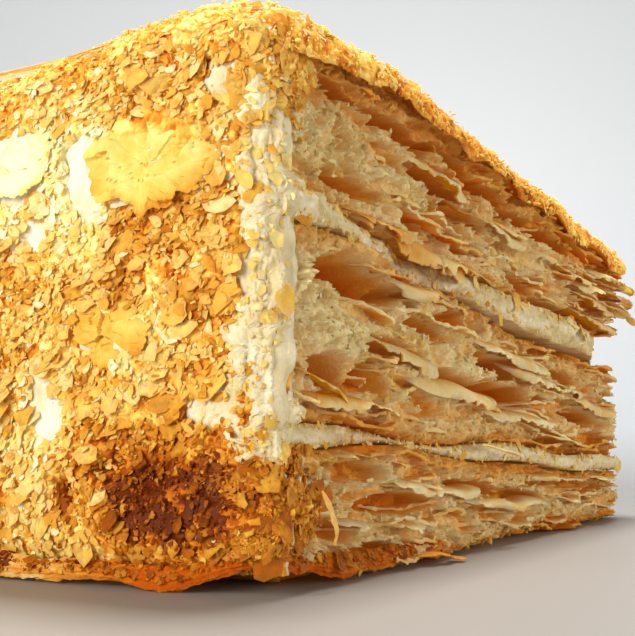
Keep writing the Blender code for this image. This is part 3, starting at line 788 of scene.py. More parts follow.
# Broad smooth leaves that hang out of the front face: ends along X, height of the joint at both
# ends, how far they hang and how far they stand out (mm), how baked
leafFlaps = [
    (-42.0, -25.0, 41.4, 39.8, 2.6, 1.0, 0.75), (-36.0, -8.0, 40.6, 38.0, 3.8, 0.9, 0.60),
    (-22.0, 2.0, 39.0, 37.0, 4.2, 1.8, 0.55), (30.0, 57.0, 35.6, 32.6, 2.0, 1.6, 0.40),
    (-33.0, -8.0, 34.6, 32.4, 2.6, 1.2, 0.40),
    (-56.0, -43.0, 23.8, 20.6, 3.8, 1.0, 0.85), (-52.0, -30.0, 20.8, 18.8, 2.4, 1.3, 0.60),
    (-38.0, -16.0, 27.0, 24.4, 2.8, 0.6, 0.05), (-26.0, 2.0, 23.6, 20.8, 2.8, 0.9, 0.05),
    (-6.0, 24.0, 28.6, 25.8, 2.4, 1.1, 0.25), (6.0, 40.0, 25.2, 22.2, 2.6, 1.0, 0.15),
    (18.0, 57.0, 22.4, 18.6, 2.6, 1.3, 0.35), (-2.0, 28.0, 19.4, 17.2, 2.4, 1.0, 0.10),
    (-28.0, -6.0, 50.4, 47.9, 2.4, 0.3, 0.25), (-12.0, 16.0, 46.2, 43.4, 2.2, 0.7, 0.20),
    (16.0, 50.0, 43.4, 39.6, 2.2, 1.2, 0.20), (28.0, 59.0, 38.8, 35.6, 2.0, 1.3, 0.25),
    (-50.0, -26.0, 14.0, 12.6, 1.6, 1.4, 0.60), (-34.0, -4.0, 10.6, 8.6, 2.0, 1.2, 0.10),
    (-44.0, -22.0, 6.6, 5.4, 2.0, 1.4, 0.05), (-10.0, 22.0, 7.0, 5.4, 1.7, 1.3, 0.10),
    (12.0, 56.0, 9.4, 7.4, 1.5, 1.4, 0.20),
    (40.0, 62.8, 42.8, 41.2, 2.4, 3.0, 0.30), (34.0, 62.8, 40.6, 38.6, 3.0, 2.6, 0.02),
    (47.0, 62.0, 37.8, 36.4, 1.6, 1.8, 0.25),
]
flapMake = {
    "step": 0.36 * mm, "rows": 10, "thick": 0.12 * mm, "bead": 0.08 * mm, "root": 2.6 * mm,
    "tear": (0.62, 0.16), "wave": 0.6 * mm, "crease": 0.36 * mm, "shorter": 0.66,
}


def leafFlap(number, start, end, highStart, highEnd, hang, stand, baked):
    # a quarter-ellipse cross-section from its joint inside the face, out and down to a torn edge,
    # carried along X; it tapers to nothing at both ends and follows soft waves and fine creases
    seed = 401 + 11 * number
    count = int((end - start) * mm / flapMake["step"])
    along = np.linspace(0, 1, count)[:, None]
    x = (start + (end - start) * along) * mm
    taper = np.sqrt(np.clip(1 - (2 * along - 1) ** 4, 0.0004, 1))
    slow, fine = flapMake["tear"]
    torn = 1 + slow * smoothNoise(seed, x / (9 * mm)) + fine * roughNoise(seed + 1, 4, x / (1.1 * mm))
    share = np.linspace(0, 1, flapMake["rows"])[None, :]
    reach = share * math.pi / 2 * np.clip(torn, 0.3, 1.3)
    wave = flapMake["wave"] * smoothNoise(seed + 3, x / (5 * mm) + share, share * 1.5)
    wave = wave + flapMake["crease"] * roughNoise(seed + 4, 3, (x + 2 * mm * share) / (1.6 * mm), share * 1.2)
    root = flapMake["root"]
    out = -root + (stand * mm + root) * np.sin(np.clip(reach, 0, 2.2)) * taper + wave * share
    down = flapMake["shorter"] * hang * mm * (1 - np.cos(reach)) * taper
    z = (highStart + (highEnd - highStart) * along) * mm - down
    z = z + 0.4 * mm * smoothNoise(seed + 5, x / (7 * mm), 0 * x)
    bead = flapMake["bead"] * share ** 8 * (1 + roughNoise(seed + 7, 2, x / (0.7 * mm)))
    half = (flapMake["thick"] / 2 + bead) * taper
    sheets = [np.stack(np.broadcast_arrays(x + 0 * out, -sliceShape["halfWidth"] - out - half * side, z), -1)
              for side in (1, -1)]
    points, faces = loftRings(np.concatenate([sheets[0], sheets[1][:, ::-1]], 1))
    points[:, 1] = points[:, 1] * farFlare(points[:, 0])
    # painted light: darker and browner towards the joint and on the underside as painted shade, paler towards
    # the free edge as painted highlight; the mottling is the leaf's own
    mottle = 0.22 * roughNoise(seed + 8, 2, x / (3 * mm), share * 2.5)
    deepness = 0.65 * (1 - share) ** 1.5 + 0.05 + mottle
    deepness = np.concatenate([deepness, deepness[:, ::-1] + 0.3], 1)
    bake = baked + 0.60 * (1 - share) ** 1.5 - 0.15 * share ** 3
    bake = bake + 0.30 * smoothNoise(seed + 9, x / (6 * mm), share * 2)
    bake = np.concatenate([bake, bake[:, ::-1] + 0.2], 1)
    return (points, faces), np.append(deepness.ravel(), [0.5, 0.5]), np.append(bake.ravel(), [0.5, 0.5])


def leafStrips(name, made):
    # one piece from strips of leaf, each with its shape, how deep and how baked its colour is
    shapes, depths, bakes = zip(*made)
    points, faces = joinShapes(shapes)
    addPiece(name, points, faces, leafMaterial, "baked_pastry",
             depth=np.concatenate(depths), bake=np.concatenate(bakes))


# Single torn strips: both ends, half width and bow (mm), how deep and how baked the colour is
shreds = [
    ((-51.2, -30.6, 10.2), (-49.8, -31.3, 4.6), 0.34, 0.5, 0.3, 0.4),
    ((-27.0, -29.6, 1.2), (-18.5, -31.9, 0.5), 1.00, 0.4, 0.6, 0.4),
    ((52.0, -30.6, 36.6), (61.6, -31.8, 34.4), 0.70, 0.4, 0.2, 0.2),
    ((-8.0, -30.4, 14.2), (2.0, -31.6, 12.2), 0.50, 0.3, 0.1, 0.1),
]
shredMake = {"steps": 26, "around": 10, "thick": 0.16 * mm}


def tornShred(number, start, end, half, bow, deepness, bake):
    # a flat ellipse carried along a bowed line, its width torn unevenly, closed at both ends
    share = np.linspace(0, 1, shredMake["steps"])[:, None]
    turn = np.linspace(0, 2 * math.pi, shredMake["around"], endpoint=False)[None, :]
    start, end = np.array(start) * mm, np.array(end) * mm
    way = (end - start) / np.linalg.norm(end - start)
    thin = np.cross(way, (0.2, 1.0, 0.1)) if abs(way[2]) < 0.5 else np.array([0.0, -1.0, 0.2])
    thin = thin - way * thin.dot(way)
    thin = thin / np.linalg.norm(thin)
    wide = np.cross(thin, way)
    torn = 1 + 0.75 * roughNoise(801 + number, 4, share * 7, 0 * share)
    width = half * mm * torn * np.sqrt(np.clip(1 - (2 * share - 1) ** 6, 0.02, 1))
    sway = bow * np.sin(share * math.pi) + 0.35 * smoothNoise(811 + number, share * 4, 0 * share)
    middle = start + (end - start) * share + thin * sway * mm
    across, over = np.cos(turn) * width, np.sin(turn) * (shredMake["thick"] + 0 * width)
    shape = loftRings(middle[:, None] + wide * across[..., None] + thin * over[..., None])
    count = len(shape[0])
    return shape, np.full(count, deepness), np.full(count, bake)


bodies = {}
for name, layer in pastryLayers.items():
    bodies[name] = tornBody(name, layer)
    leafPiece(name, layer)
    rimCrumbs(name, layer, bodies[name], 1900, layer["seed"] + 200)
leafStrips("hanging_leaves", [leafFlap(number, *flap) for number, flap in enumerate(leafFlaps)])
leafStrips("torn_shreds", [tornShred(number, *shred) for number, shred in enumerate(shreds)])
print("pastry layers made")


# proud: middle and spread along X, how far the cream stands out there (mm). setIn: how far it lies
# back at the far end
creamLayers = {
    "lower_cream": {"node": "cream_lower", "farReach": (3.2 * mm, 3.2 * mm), "floor": "bottomTop",
                    "roof": "lowerCreamTop", "seed": 51, "setIn": 0.0,
                    "proud": [(-30.0, 19.0, -2.4), (20.0, 26.0, 0.5)]},
    "upper_cream": {"node": "cream_upper", "farReach": (-0.6 * mm, -3.6 * mm), "floor": "middleTop",
                    "roof": "upperCreamTop", "seed": 63, "setIn": 4.4 * mm,
                    "proud": [(-22.0, 13.0, -2.6), (20.0, 20.0, 1.0), (-51.0, 7.0, 0.8)]},
}
creamFace = {
    "steps": (0.22 * mm, 0.5 * mm, 0.5 * mm), "rowStep": 0.2 * mm, "lump": 0.50 * mm, "belly": 0.4 * mm,
    "grains": [(1.8 * mm, 0.50 * mm), (0.8 * mm, 0.34 * mm)],  # size and height of its small lumps
    "ridge": 0.28 * mm,
    "closing": (0.5, 0.85, 0.97),
}


def creamGrain(seed, across, up):
    # small rounded lumps of two sizes, and ridges drawn by the knife across the layers
    rise = creamFace["ridge"] * roughNoise(seed, 3, across / (0.8 * mm), up / (6 * mm))
    for size, tall in creamFace["grains"]:
        wander = 0.3 * smoothNoise(seed + 5, across / size, up / size)
        far, high = across / size + wander, up / (1.3 * size) + wander
        wall, number, _, _ = cellular(seed + int(size * 1e5), far, high)
        rise = rise + tall * (0.3 + 0.7 * number) * (np.sqrt(wall) - 0.4)
    return rise


def creamPiece(name, layer):
    # the outline carried up between two pastry layers, bellying out, with soft lumps
    outline = sliceOutline(*creamFace["steps"])
    tall = levels[layer["roof"]][0] - levels[layer["floor"]][0]
    sideRows = max(8, int(tall / creamFace["rowStep"]))
    pull, share = closedRows(sideRows, creamFace["closing"])
    x, y, gone = (outline[key][None, :] for key in ("x", "y", "gone"))
    low, high = levelHeight(layer["floor"], x, y), levelHeight(layer["roof"], x, y)
    height = low + (high - low) * share
    out = creamFace["belly"] * (np.sin(share * math.pi) - 0.9)
    out = out + creamFace["lump"] * roughNoise(layer["seed"], 3, gone / (3.5 * mm), height / (2.2 * mm))
    out = out + creamGrain(layer["seed"] + 3, gone, height)
    for middle, spread, amount in layer["proud"]:
        out = out + amount * mm * bell(x, middle * mm, spread * mm) * onFront(gone)
    out = out - layer["setIn"] * smoothStep(40 * mm, 55 * mm, x)
    out = np.where(outline["outX"][None, :] < -0.5, -0.6 * mm, out)
    placeX = (x + outline["outX"][None, :] * out + farStretch(layer, x, share)) * pull
    placeY = (y + outline["outY"][None, :] * out) * pull * farFlare(x)
    gap = sliceShape["faceGap"]
    low, high = levelHeight(layer["floor"], placeX, placeY), levelHeight(layer["roof"], placeX, placeY)
    placeZ = low * (1 - share) + high * share + gap * (1 - 2 * share) + 0 * out
    points, faces = loftRings(np.stack(np.broadcast_arrays(placeX, placeY, placeZ), -1))
    tone = 0.55 + 0.3 * roughNoise(layer["seed"] + 7, 3, gone / (4 * mm), height / (1.5 * mm)) + 0 * out
    tone = tone - 0.35 * (1 - smoothStep(0, 0.3, np.minimum(share, 1 - share)))
    piece = addPiece(name, points, faces, creamMaterial, "cream", crisp=80,
                     tone=np.append(tone.ravel(), [0.6, 0.6]))
    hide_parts(layer["node"])
    shown = np.broadcast_to(onFront(gone) & (share > 0.05) & (share < 0.95), out.shape).ravel()
    nearEdge = np.broadcast_to(np.abs(2 * share - 1), out.shape).ravel()
    return points[:out.size][shown], nearEdge[shown]


# kinds of flakes on the cream's faces: how many, smallest and largest radius (mm)
creamCrumbs = {"flakes": {"broad": (50, 0.6, 1.8), "chip": (260, 0.25, 0.8)}, "specks": 900, "anywhere": 0.04}


def creamCrumbPieces(found):
    # crumbs and small flakes stuck to the front faces of the cream, more of them near its edges
    chance = np.random.default_rng(231)
    places, nearEdge = (np.concatenate(column) for column in zip(*found))
    weight = creamCrumbs["anywhere"] + nearEdge ** 4
    weight = weight / weight.sum()
    ways = np.array([0.0, -1.0, 0.25])
    for kind, (count, low, high) in creamCrumbs["flakes"].items():
        chosen = chance.choice(len(places), count, p=weight)
        sizes = (low + (high - low) * chance.random(count) ** 2) * mm
        flakePiece("cream_" + kind + "_flakes", places[chosen] + ways * 0.05 * mm,
                   np.tile(ways, (count, 1)), sizes, chance.normal(0.60, 0.12, count), flakeKinds[kind], 233)
    chosen = chance.choice(len(places), creamCrumbs["specks"], p=weight)
    sizes = 0.06 * mm + 0.22 * mm * chance.random(len(chosen)) ** 2
    crumbPiece("cream_specks", places[chosen], sizes, flakeMaterial, "flaky_crust", 234,
               tone=chance.normal(0.74, 0.12, len(chosen)))


creamFaces = [creamPiece(name, layer) for name, layer in creamLayers.items()]
print("cream layers made")


coatShape = {
    "back": sliceShape["nearX"] - 0.3 * mm,
    "outer": sliceShape["nearX"] - 5.1 * mm,
    "foot": 2.1 * mm,
    "rounding": 4.8 * mm,
    "roll": 0.92,
    "lump": 0.9 * mm,
    "fineLump": 0.15 * mm,
    "sideSteps": 7, "backSteps": 10,
    "sideRough": 0.5 * mm,
}


def coatTop(y):
    # just under the crust
    return levelHeight("topTop", sliceShape["nearX"] - 3 * mm, y) - 0.9 * mm


def coatSurface(y, z):
    # x of the coat's outer face: flat, rolling back by a circle's arc towards its edges, with lumps
    fromEdge = np.minimum(sliceShape["halfWidth"] - np.abs(y), coatTop(y) - z)
    fromEdge = np.minimum(fromEdge, z - coatShape["foot"])
    roll = np.clip(1 - fromEdge / coatShape["rounding"], 0, 1)
    lumps = coatShape["lump"] * smoothNoise(71, y / (6 * mm), z / (6 * mm))
    fine = coatShape["fineLump"] * roughNoise(73, 3, y / (1.6 * mm), z / (1.9 * mm))
    rolled = coatShape["rounding"] * (1 - np.sqrt(1 - roll * roll * coatShape["roll"]))
    return coatShape["outer"] + rolled - lumps - fine


def coatNormal(y, z):
    # the way out of the coat's outer face, from its slopes over a millimetre
    step = 0.6 * mm
    slopeY = (coatSurface(y + step, z) - coatSurface(y - step, z)) / (2 * step)
    slopeZ = (coatSurface(y, z + step) - coatSurface(y, z - step)) / (2 * step)
    normal = np.stack([-np.ones_like(y), slopeY, slopeZ], -1)
    return normal / np.linalg.norm(normal, axis=-1, keepdims=True)


def eased(count):
    # from 0 to 1 in steps that are finer near both ends
    even = np.linspace(0, 1, count)
    return even + 0.6 * (0.5 - 0.5 * np.cos(even * math.pi) - even)


def coatShell(name, columns, rows, standOut, inset, material, slot, toneAt):
    # level rings, going up: front side, back wall against the pastry, back side, outer face, which
    # stands out from coatSurface by standOut; inset draws in the back side and the top
    width = sliceShape["halfWidth"]
    sides, behind = coatShape["sideSteps"], coatShape["backSteps"]
    goingIn = np.linspace(0, 1, sides)
    inward = np.concatenate([goingIn, np.ones(behind), goingIn[::-1], np.zeros(columns)])
    across = np.linspace(0.05, 0.95, behind)
    across = np.concatenate([np.zeros(sides), across, np.ones(sides), eased(columns)[::-1]])
    upward = eased(rows)
    y = ((across - 0.5) * 2 * width - inset * across)[None, :] + 0 * upward[:, None]
    z = coatShape["foot"] + (coatTop(y) - inset - coatShape["foot"]) * upward[:, None]
    outer = coatSurface(y, z) - standOut(y, z)
    x = outer + (coatShape["back"] - outer) * inward[None, :]
    onSide = (np.abs(across - 0.5) > 0.499) * np.sin(np.clip(inward * 1.2, 0, 1) * math.pi / 2)
    rough = coatShape["sideRough"] * roughNoise(79, 3, x / (1.2 * mm), z / (3.5 * mm))
    y = y + np.sign(y) * onSide[None, :] * rough
    points, faces = loftRings(np.stack(np.broadcast_arrays(x, y, z), -1))
    return addPiece(name, points, faces, material, slot, tone=np.append(toneAt(y, z).ravel(), [0.6, 0.6]))


# On the coat: middle across and up, spread across and up (mm), change of tone. The dark patches
#  low down and in the hollows are partly real browner crumbs and partly painted shade, the two thin
#  dark strips just under the largest flake are painted shadow, and the light patches high up are
#  partly painted highlight
coatTonesWithPaintedLight = [
    (-14.5, 12.0, 6.5, 4.5, -0.46), (-15.5, 6.5, 8.0, 4.0, -0.36), (-25.0, 10.0, 5.5, 8.0, -0.46),
    (-11.3, 30.8, 2.6, 3.4, -0.32), (-4.0, 9.0, 2.0, 2.5, -0.40), (-10.5, 26.2, 6.0, 4.0, 0.14),
    (-6.0, 42.0, 4.0, 7.0, 0.35), (3.0, 46.0, 7.0, 7.0, 0.28), (-15.0, 43.8, 9.0, 6.0, 0.10),
    (1.0, 39.0, 5.0, 4.0, 0.22), (0.0, 18.0, 4.0, 8.0, 0.22), (-22.5, 29.0, 4.0, 3.0, -0.16),
    (-12.0, 37.2, 4.5, 1.0, -0.25), (-20.5, 38.8, 3.0, 1.2, -0.25), (-8.0, 2.0, 10.0, 1.5, 0.12),
]
# Bare cream on the coat: middle across and up, spread across and up (mm), how bare
coatBare = [
    (-29.5, 35.0, 3.4, 17.0, 1.6), (-6.0, 43.0, 2.8, 4.8, 1.2), (-22.5, 5.2, 4.5, 1.8, 0.52),
    (-9.5, 25.8, 6.0, 3.0, 0.95), (3.5, 44.5, 4.5, 5.0, 0.90), (-24.5, 51.0, 3.5, 2.5, 1.10),
    (1.5, 37.0, 3.0, 3.0, 0.80), (-0.5, 18.0, 3.2, 5.5, 0.85), (-22.5, 18.5, 3.5, 2.2, 1.00),
]
# Hollows in the coat: middle across and up, spread across and up (mm), depth (mm)
coatHollows = [(-14.5, 12.6, 4.6, 3.0, 2.0), (-3.8, 9.2, 1.0, 1.6, 2.4), (-11.5, 31.5, 1.8, 2.2, 0.9)]


def coatTone(y, z):
    # a slow noise and the bells of the tone table above, added up, painted highlight and shade included
    tone = 0.60 + 0.10 * smoothNoise(91, y / (6 * mm), z / (5 * mm))
    for midY, midZ, spreadY, spreadZ, change in coatTonesWithPaintedLight:
        tone = tone + change * bellAt(y, z, midY, midZ, spreadY, spreadZ)
    return tone


def coatCover(y, z):
    # 1 where flakes lie close together, 0 on bare cream, with a ragged border
    bare = 0.0
    for midY, midZ, spreadY, spreadZ, amount in coatBare:
        bare = np.maximum(bare, amount * bellAt(y, z, midY, midZ, spreadY, spreadZ))
    bare = bare + 0.22 * roughNoise(95, 2, y / (2 * mm), z / (2 * mm))
    return 1 - smoothStep(0.35, 0.65, bare)


def creamTone(y, z):
    # whiter away from the corner
    return (0.62 + 0.38 * smoothStep(-25 * mm, -17 * mm, y) +
            0.28 * roughNoise(81, 3, y / (3 * mm), z / (5 * mm)))


# Overlapping flakes of three sizes: size, height, lean, how much their tones differ
bedFlakes = [
    (4.4 * mm, 0.44 * mm, 0.6, 0.12), (2.1 * mm, 0.34 * mm, 0.6, 0.18), (0.9 * mm, 0.18 * mm, 0.6, 0.16),
]


def flakeBed(seed, across, up):
    # the flakes' heights and numbers added up; crevices are where the sum is low. The tone is painted
    #  darker in the crevices and lighter on the highest flakes: painted shade and painted highlight
    height, shade = 0.0, 0.0
    for number, (size, tall, lean, differ) in enumerate(bedFlakes):
        rise, own = shingles(seed + 7 * number, across, up, size, lean)
        height = height + tall * (rise - 0.5)
        shade = shade + differ * (own - 0.5)
    return height, shade + 0.30 * np.clip(height / mm, -0.8, 0.4)


def coatHollow(y, z):
    # how deep the coat is hollowed: the bells of coatHollows added up
    depth = 0.0
    for midY, midZ, spreadY, spreadZ, deep in coatHollows:
        depth = depth + deep * mm * bellAt(y, z, midY, midZ, spreadY, spreadZ)
    return depth


def crumbBed(y, z):
    # packed flakes over the cream, which they sink below where it is bare
    height, shade = flakeBed(83, y, z)
    cover = coatCover(y, z)
    return (0.40 * mm + height) * cover - 0.9 * mm * (1 - cover) - coatHollow(y, z)


def crumbBedTone(y, z):
    # the coat's tone, varied by the flakes' own, with the bed's painted shade in crevices and darker in the
    # hollows as painted shade
    height, shade = flakeBed(83, y, z)
    return coatTone(y, z) - 0.08 + 1.25 * shade - 0.10 * np.clip(coatHollow(y, z) / mm, 0, 2)


def smearedCream(y, z):
    # lower and smoother where flakes cover it
    cover = coatCover(y, z)
    return creamGrain(61, y, z) * (1 - 0.7 * cover) - 0.3 * mm * cover - 2.6 * coatHollow(y, z)


coat = coatShell("coat_cream", 150, 130, smearedCream, 0.8 * mm, creamMaterial, "cream", creamTone)
bed = coatShell("coat_flake_bed", 236, 206, crumbBed, 0.0, flakeMaterial, "flaky_crust", crumbBedTone)
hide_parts("end_coat")
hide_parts("end_coat")
print("coat made")


# Patches that wrap the front coated corner, which runs straight up; each has a table of height (mm)
# and how far it reaches from the corner over the end face and over the cut face (mm)
cornerPatches = {
    "corner_crumb_high": {
        "made": "flakes", "seed": 141, "rows": 90, "proud": 0.1 * mm, "tone": 0.50, "cutTone": 0.10,
        "reach": [(45.5, 2.0, 3.0), (48, 4.5, 6.0), (51, 6.5, 8.5), (54, 8.0, 10.0), (57.5, 9.0, 12.0)],
    },
    "corner_cream": {
        "made": "cream", "seed": 131, "rows": 160, "proud": 0.3 * mm, "tone": 0.58,
        "reach": [
            (12, 2.0, 0.5), (15, 5.0, 3.0), (17, 8.6, 7.2), (18.6, 8.8, 8.4), (20.5, 7.4, 5.2),
            (22, 4.6, 3.4), (26, 4.8, 2.4), (31, 4.2, 2.2), (34, 3.4, 2.6), (36.5, 3.0, 3.6),
            (38.6, 3.2, 8.5), (40.5, 3.2, 7.0), (42.5, 3.4, 4.0), (45, 3.8, 2.4), (48.5, 5.0, 2.0),
            (51.5, 7.4, 1.4), (53.6, 6.4, 0.8), (54.8, 3.0, 0.4),
        ],
    },
    "corner_crumb_low": {
        "made": "flakes", "seed": 151, "rows": 110, "proud": 0.15 * mm, "tone": 0.27, "cutTone": 0.20,
        "reach": [(2.9, 7.0, 6.0), (5, 7.0, 9.0), (9, 5.0, 11.0), (12, 6.0, 10.0), (15.8, 3.0, 7.5)],
    },
}
cornerMake = {
    "columns": 84,
    "bend": 4.2 * mm,           # radius of the corner
    "thick": 1.6 * mm,
    "ragged": 1.6 * mm,         # how much both edges wander
    "lump": 0.60 * mm,
}


def cornerPatch(name, patch):
    # level strips that run over the end face, round the corner and onto the cut face; thick in their
    # middle, tucked in at all edges, closed by a back wall inside the slice
    seed, bend = patch["seed"], cornerMake["bend"]
    levelsAt, overEnd, overCut = (np.array(column) * mm for column in zip(*patch["reach"]))
    low, high = levelsAt[0], levelsAt[-1]
    z = np.linspace(low, high, patch["rows"])[:, None]
    thick, ragged = cornerMake["thick"], cornerMake["ragged"]
    overEnd = np.interp(z, levelsAt, overEnd) + ragged * roughNoise(seed, 4, z / (2.0 * mm))
    overCut = np.interp(z, levelsAt, overCut) + ragged * roughNoise(seed + 10, 4, z / (2.2 * mm))
    share = np.linspace(0, 1, cornerMake["columns"])[None, :]
    quarter = bend * math.pi / 2
    start = -(overEnd - bend + 0.8 * mm).clip(0, None)
    end = quarter + (overCut - bend + 0.8 * mm).clip(0, None)
    gone = start + (end - start) * share
    angle = np.clip(gone / bend, 0, math.pi / 2)
    cornerX, cornerY = coatShape["outer"] + bend, bend - sliceShape["halfWidth"]
    outX, outY = -np.cos(angle), -np.sin(angle)
    placeX = cornerX + bend * outX + np.clip(gone - quarter, 0, None)
    placeY = cornerY + bend * outY + np.clip(-gone, 0, None)
    fade = 1.5 * mm
    sheet = smoothStep(low, low + fade, z) * smoothStep(high, high - fade, z)
    sheet = (1 - (2 * share - 1) ** 6) * sheet
    rise = patch["proud"] + cornerMake["lump"] * roughNoise(seed + 20, 3, gone / (2.5 * mm), z / (4 * mm))
    if patch["made"] == "cream":
        rise = rise + creamGrain(seed + 30, gone, z)
        tone = patch["tone"] + 0.25 * roughNoise(seed + 40, 3, gone / (2 * mm), z / (4 * mm))
    else:
        flakes, shade = flakeBed(seed + 30, gone, z)
        rise = rise + flakes
        # the flake bed's tone brings its painted shade and highlight
        tone = patch["tone"] + shade + 0.10 * smoothNoise(seed + 40, gone / (4 * mm), z / (4 * mm))
        tone = tone + patch["cutTone"] * smoothStep(quarter, quarter + 6 * mm, gone)
    sunk = thick * (1 - sheet) * (1 + 0.35 * roughNoise(seed + 50, 3, gone / mm, z / mm))
    stand = rise * sheet - sunk
    front = np.stack([placeX + outX * stand, placeY + outY * stand, z + 0 * gone], -1)
    backStand = -thick - 0.4 * mm
    back = np.stack([placeX + outX * backStand, placeY + outY * backStand, z + 0 * gone], -1)
    points, faces = loftRings(np.concatenate([front, back[:, ::-1]], 1))
    tone = np.append(np.concatenate([tone + 0 * gone, 0.5 + 0 * gone], 1).ravel(), [0.5, 0.5])
    made = (creamMaterial, "cream") if patch["made"] == "cream" else (flakeMaterial, "flaky_crust")
    addPiece(name, points, faces, *made, tone=tone)
    ways = np.stack([outX + 0 * z, outY + 0 * z, 0 * gone + 0.15 + 0 * z], -1)
    shown = (sheet > 0.5).ravel()
    return front.reshape(-1, 3)[shown], ways.reshape(-1, 3)[shown]


patchPlaces = {name: cornerPatch(name, patch) for name, patch in cornerPatches.items()}
print("corner patches made")


# A rounded strip of bottom crust along the foot of the coated end and of the cut face
footCrust = {
    "step": 0.3 * mm, "around": 32,
    "backY": 28.0 * mm, "endX": -14.0 * mm,     # where it ends on both sides
    # height of its middle: places are shares of its length
    "highAt": (0.0, 0.44, 0.55, 0.65, 0.72, 1.0),
    "high": (1.7 * mm, 1.5 * mm, 3.6 * mm, 2.9 * mm, 2.0 * mm, 1.5 * mm),
    "size": (0.65 * mm, 1.0 * mm),              # half its width and half its height
    "sunk": 0.8 * mm,                           # how far its middle lies inside the outline
    "corner": 5.0 * mm,
    # its colour there: how deep and how baked; darkest round the corner, partly real baking and partly
    # painted shade
    "shadeAt": (0.0, 0.30, 0.38, 0.58, 1.0),
    "depth": (0.30, 0.42, 0.85, 1.00, 0.60),
    "bake": (0.25, 0.40, 0.90, 1.10, 0.70),
}


def footCrustPiece():
    # an ellipse with long fibres, carried along the end face, round the corner and along the cut
    # face; it thins to nothing at both ends
    corner, width = footCrust["corner"], sliceShape["halfWidth"]
    flatEnd = footCrust["backY"] + width - corner
    flatCut = footCrust["endX"] - coatShape["outer"] - corner
    quarter = corner * math.pi / 2
    gone = np.arange(0, flatEnd + quarter + flatCut, footCrust["step"])[:, None]
    angle = np.clip((gone - flatEnd) / corner, 0, math.pi / 2)
    outX, outY = -np.cos(angle), -np.sin(angle)
    x = coatShape["outer"] + corner + corner * outX + np.clip(gone - flatEnd - quarter, 0, None)
    y = corner - width + corner * outY + np.clip(flatEnd - gone, 0, None)
    share = gone / gone.max()
    turn = np.linspace(0, 2 * math.pi, footCrust["around"], endpoint=False)[None, :]
    taper = np.sqrt(np.clip(np.minimum(share, 1 - share) / 0.06, 0.0004, 1))
    fibre = 1 + 0.22 * roughNoise(201, 3, gone / (6 * mm), turn * 3)
    fibre = fibre + 0.30 * smoothNoise(203, gone / (4 * mm), 0 * turn)
    fibre = fibre + 0.16 * roughNoise(211, 3, gone / (0.9 * mm), turn * 2)
    fibre = fibre + 0.22 * smoothNoise(213, gone / (9 * mm), turn * 5)
    wide, tall = (half * taper * fibre for half in footCrust["size"])
    middle = np.interp(share, footCrust["highAt"], footCrust["high"])
    middle = middle + 0.4 * mm * smoothNoise(205, gone / (9 * mm), 0 * gone)
    out = wide * np.cos(turn) - footCrust["sunk"] + 0.4 * mm * smoothNoise(207, gone / (6 * mm), 0 * gone)
    z = middle - tall * np.sin(turn)
    points, faces = loftRings(np.stack(np.broadcast_arrays(x + outX * out, y + outY * out, z), -1))
    deepness, bake = (np.interp(share, footCrust["shadeAt"], footCrust[key]) for key in ("depth", "bake"))
    deepness = deepness + 0.25 * roughNoise(209, 4, gone / (3 * mm), turn * 3)
    bake = bake + 0.20 * roughNoise(219, 3, gone / (2 * mm), turn * 2)
    deepness, bake = (np.append(shade.ravel(), [0.6, 0.6]) for shade in (deepness, bake))
    addPiece("foot_crust", points, faces, crumbMaterial, "flaky_crust", depth=deepness, bake=bake)
    ways = np.stack(np.broadcast_arrays(outX, outY, 0.3 - np.sin(turn)), -1).reshape(-1, 3)
    shown = (np.cos(turn) > 0.3) & (np.sin(turn) < 0.2) & (share > 0.05) & (share < 0.95)
    return points[:shown.size][shown.ravel()], ways[shown.ravel()]


patchPlaces["foot_crust"] = footCrustPiece()


# The crust over the top, packed with flakes
topCrust = {
    "near": -58.6 * mm, "far": 60.6 * mm,
    "halfWidth": 30.1 * mm,     # a little past the torn faces
    "edge": 4.0 * mm,           # radius of the rounded edge
    "step": 0.50 * mm,
    "sink": 0.15 * mm,          # its flat part lies this much under the highest flakes
    "tone": 0.56,
    "edgeTone": -0.16,          # change of tone low on the rounded edge
    "crumbly": 0.42 * mm,       # how rough that edge is
    "underPull": [1.0, 3.0, 8.0, 16.0, 26.0],  # loops of the underside, drawn in this far (mm)
    "underTone": 0.36,
    "cornerPull": 1.6 * mm,     # the corners draw in to round them
}


def edgeProfile(low, high, radius, gone):
    # place along a straight line that ends in quarter circles, the drop there and the way out, for
    # distances gone from the middle
    flat = (high - low) / 2 - radius
    angle = np.clip((np.abs(gone) - flat) / radius, 0, math.pi / 2)
    side = np.sign(gone)
    place = (low + high) / 2 + side * (np.minimum(np.abs(gone), flat) + radius * np.sin(angle))
    return place, radius * (1 - np.cos(angle)), side * np.sin(angle)


def topSurface(goneX, goneY, rise):
    # places on the rounded crust, raised by rise along the way out, and that way out
    edge, width = topCrust["edge"], topCrust["halfWidth"]
    x, dropX, outX = edgeProfile(topCrust["near"], topCrust["far"], edge, goneX)
    y, dropY, outY = edgeProfile(-width, width, edge, goneY)
    up = np.sqrt(np.clip(1 - outX ** 2 - outY ** 2, 0.02, 1))
    ragged = 1 + 0.30 * smoothNoise(161, x / (5 * mm), y / (5 * mm))
    both = topCrust["cornerPull"] * (outX * outY) ** 2
    x, y = x - np.sign(outX) * both, y - np.sign(outY) * both
    y = y * farFlare(x)
    z = levelHeight("topTop", x, y) - topCrust["sink"] - np.clip(dropX + dropY, 0, edge) * ragged
    normal = np.stack(np.broadcast_arrays(outX, outY, up), -1)
    normal = normal / np.linalg.norm(normal, axis=-1, keepdims=True)
    return np.stack(np.broadcast_arrays(x, y, z), -1) + normal * rise[..., None], normal


def topLengths():
    # half the distance over the crust along X and along Y, from edge to edge
    more = topCrust["edge"] * (math.pi / 2 - 1)
    return (topCrust["far"] - topCrust["near"]) / 2 + more, topCrust["halfWidth"] + more


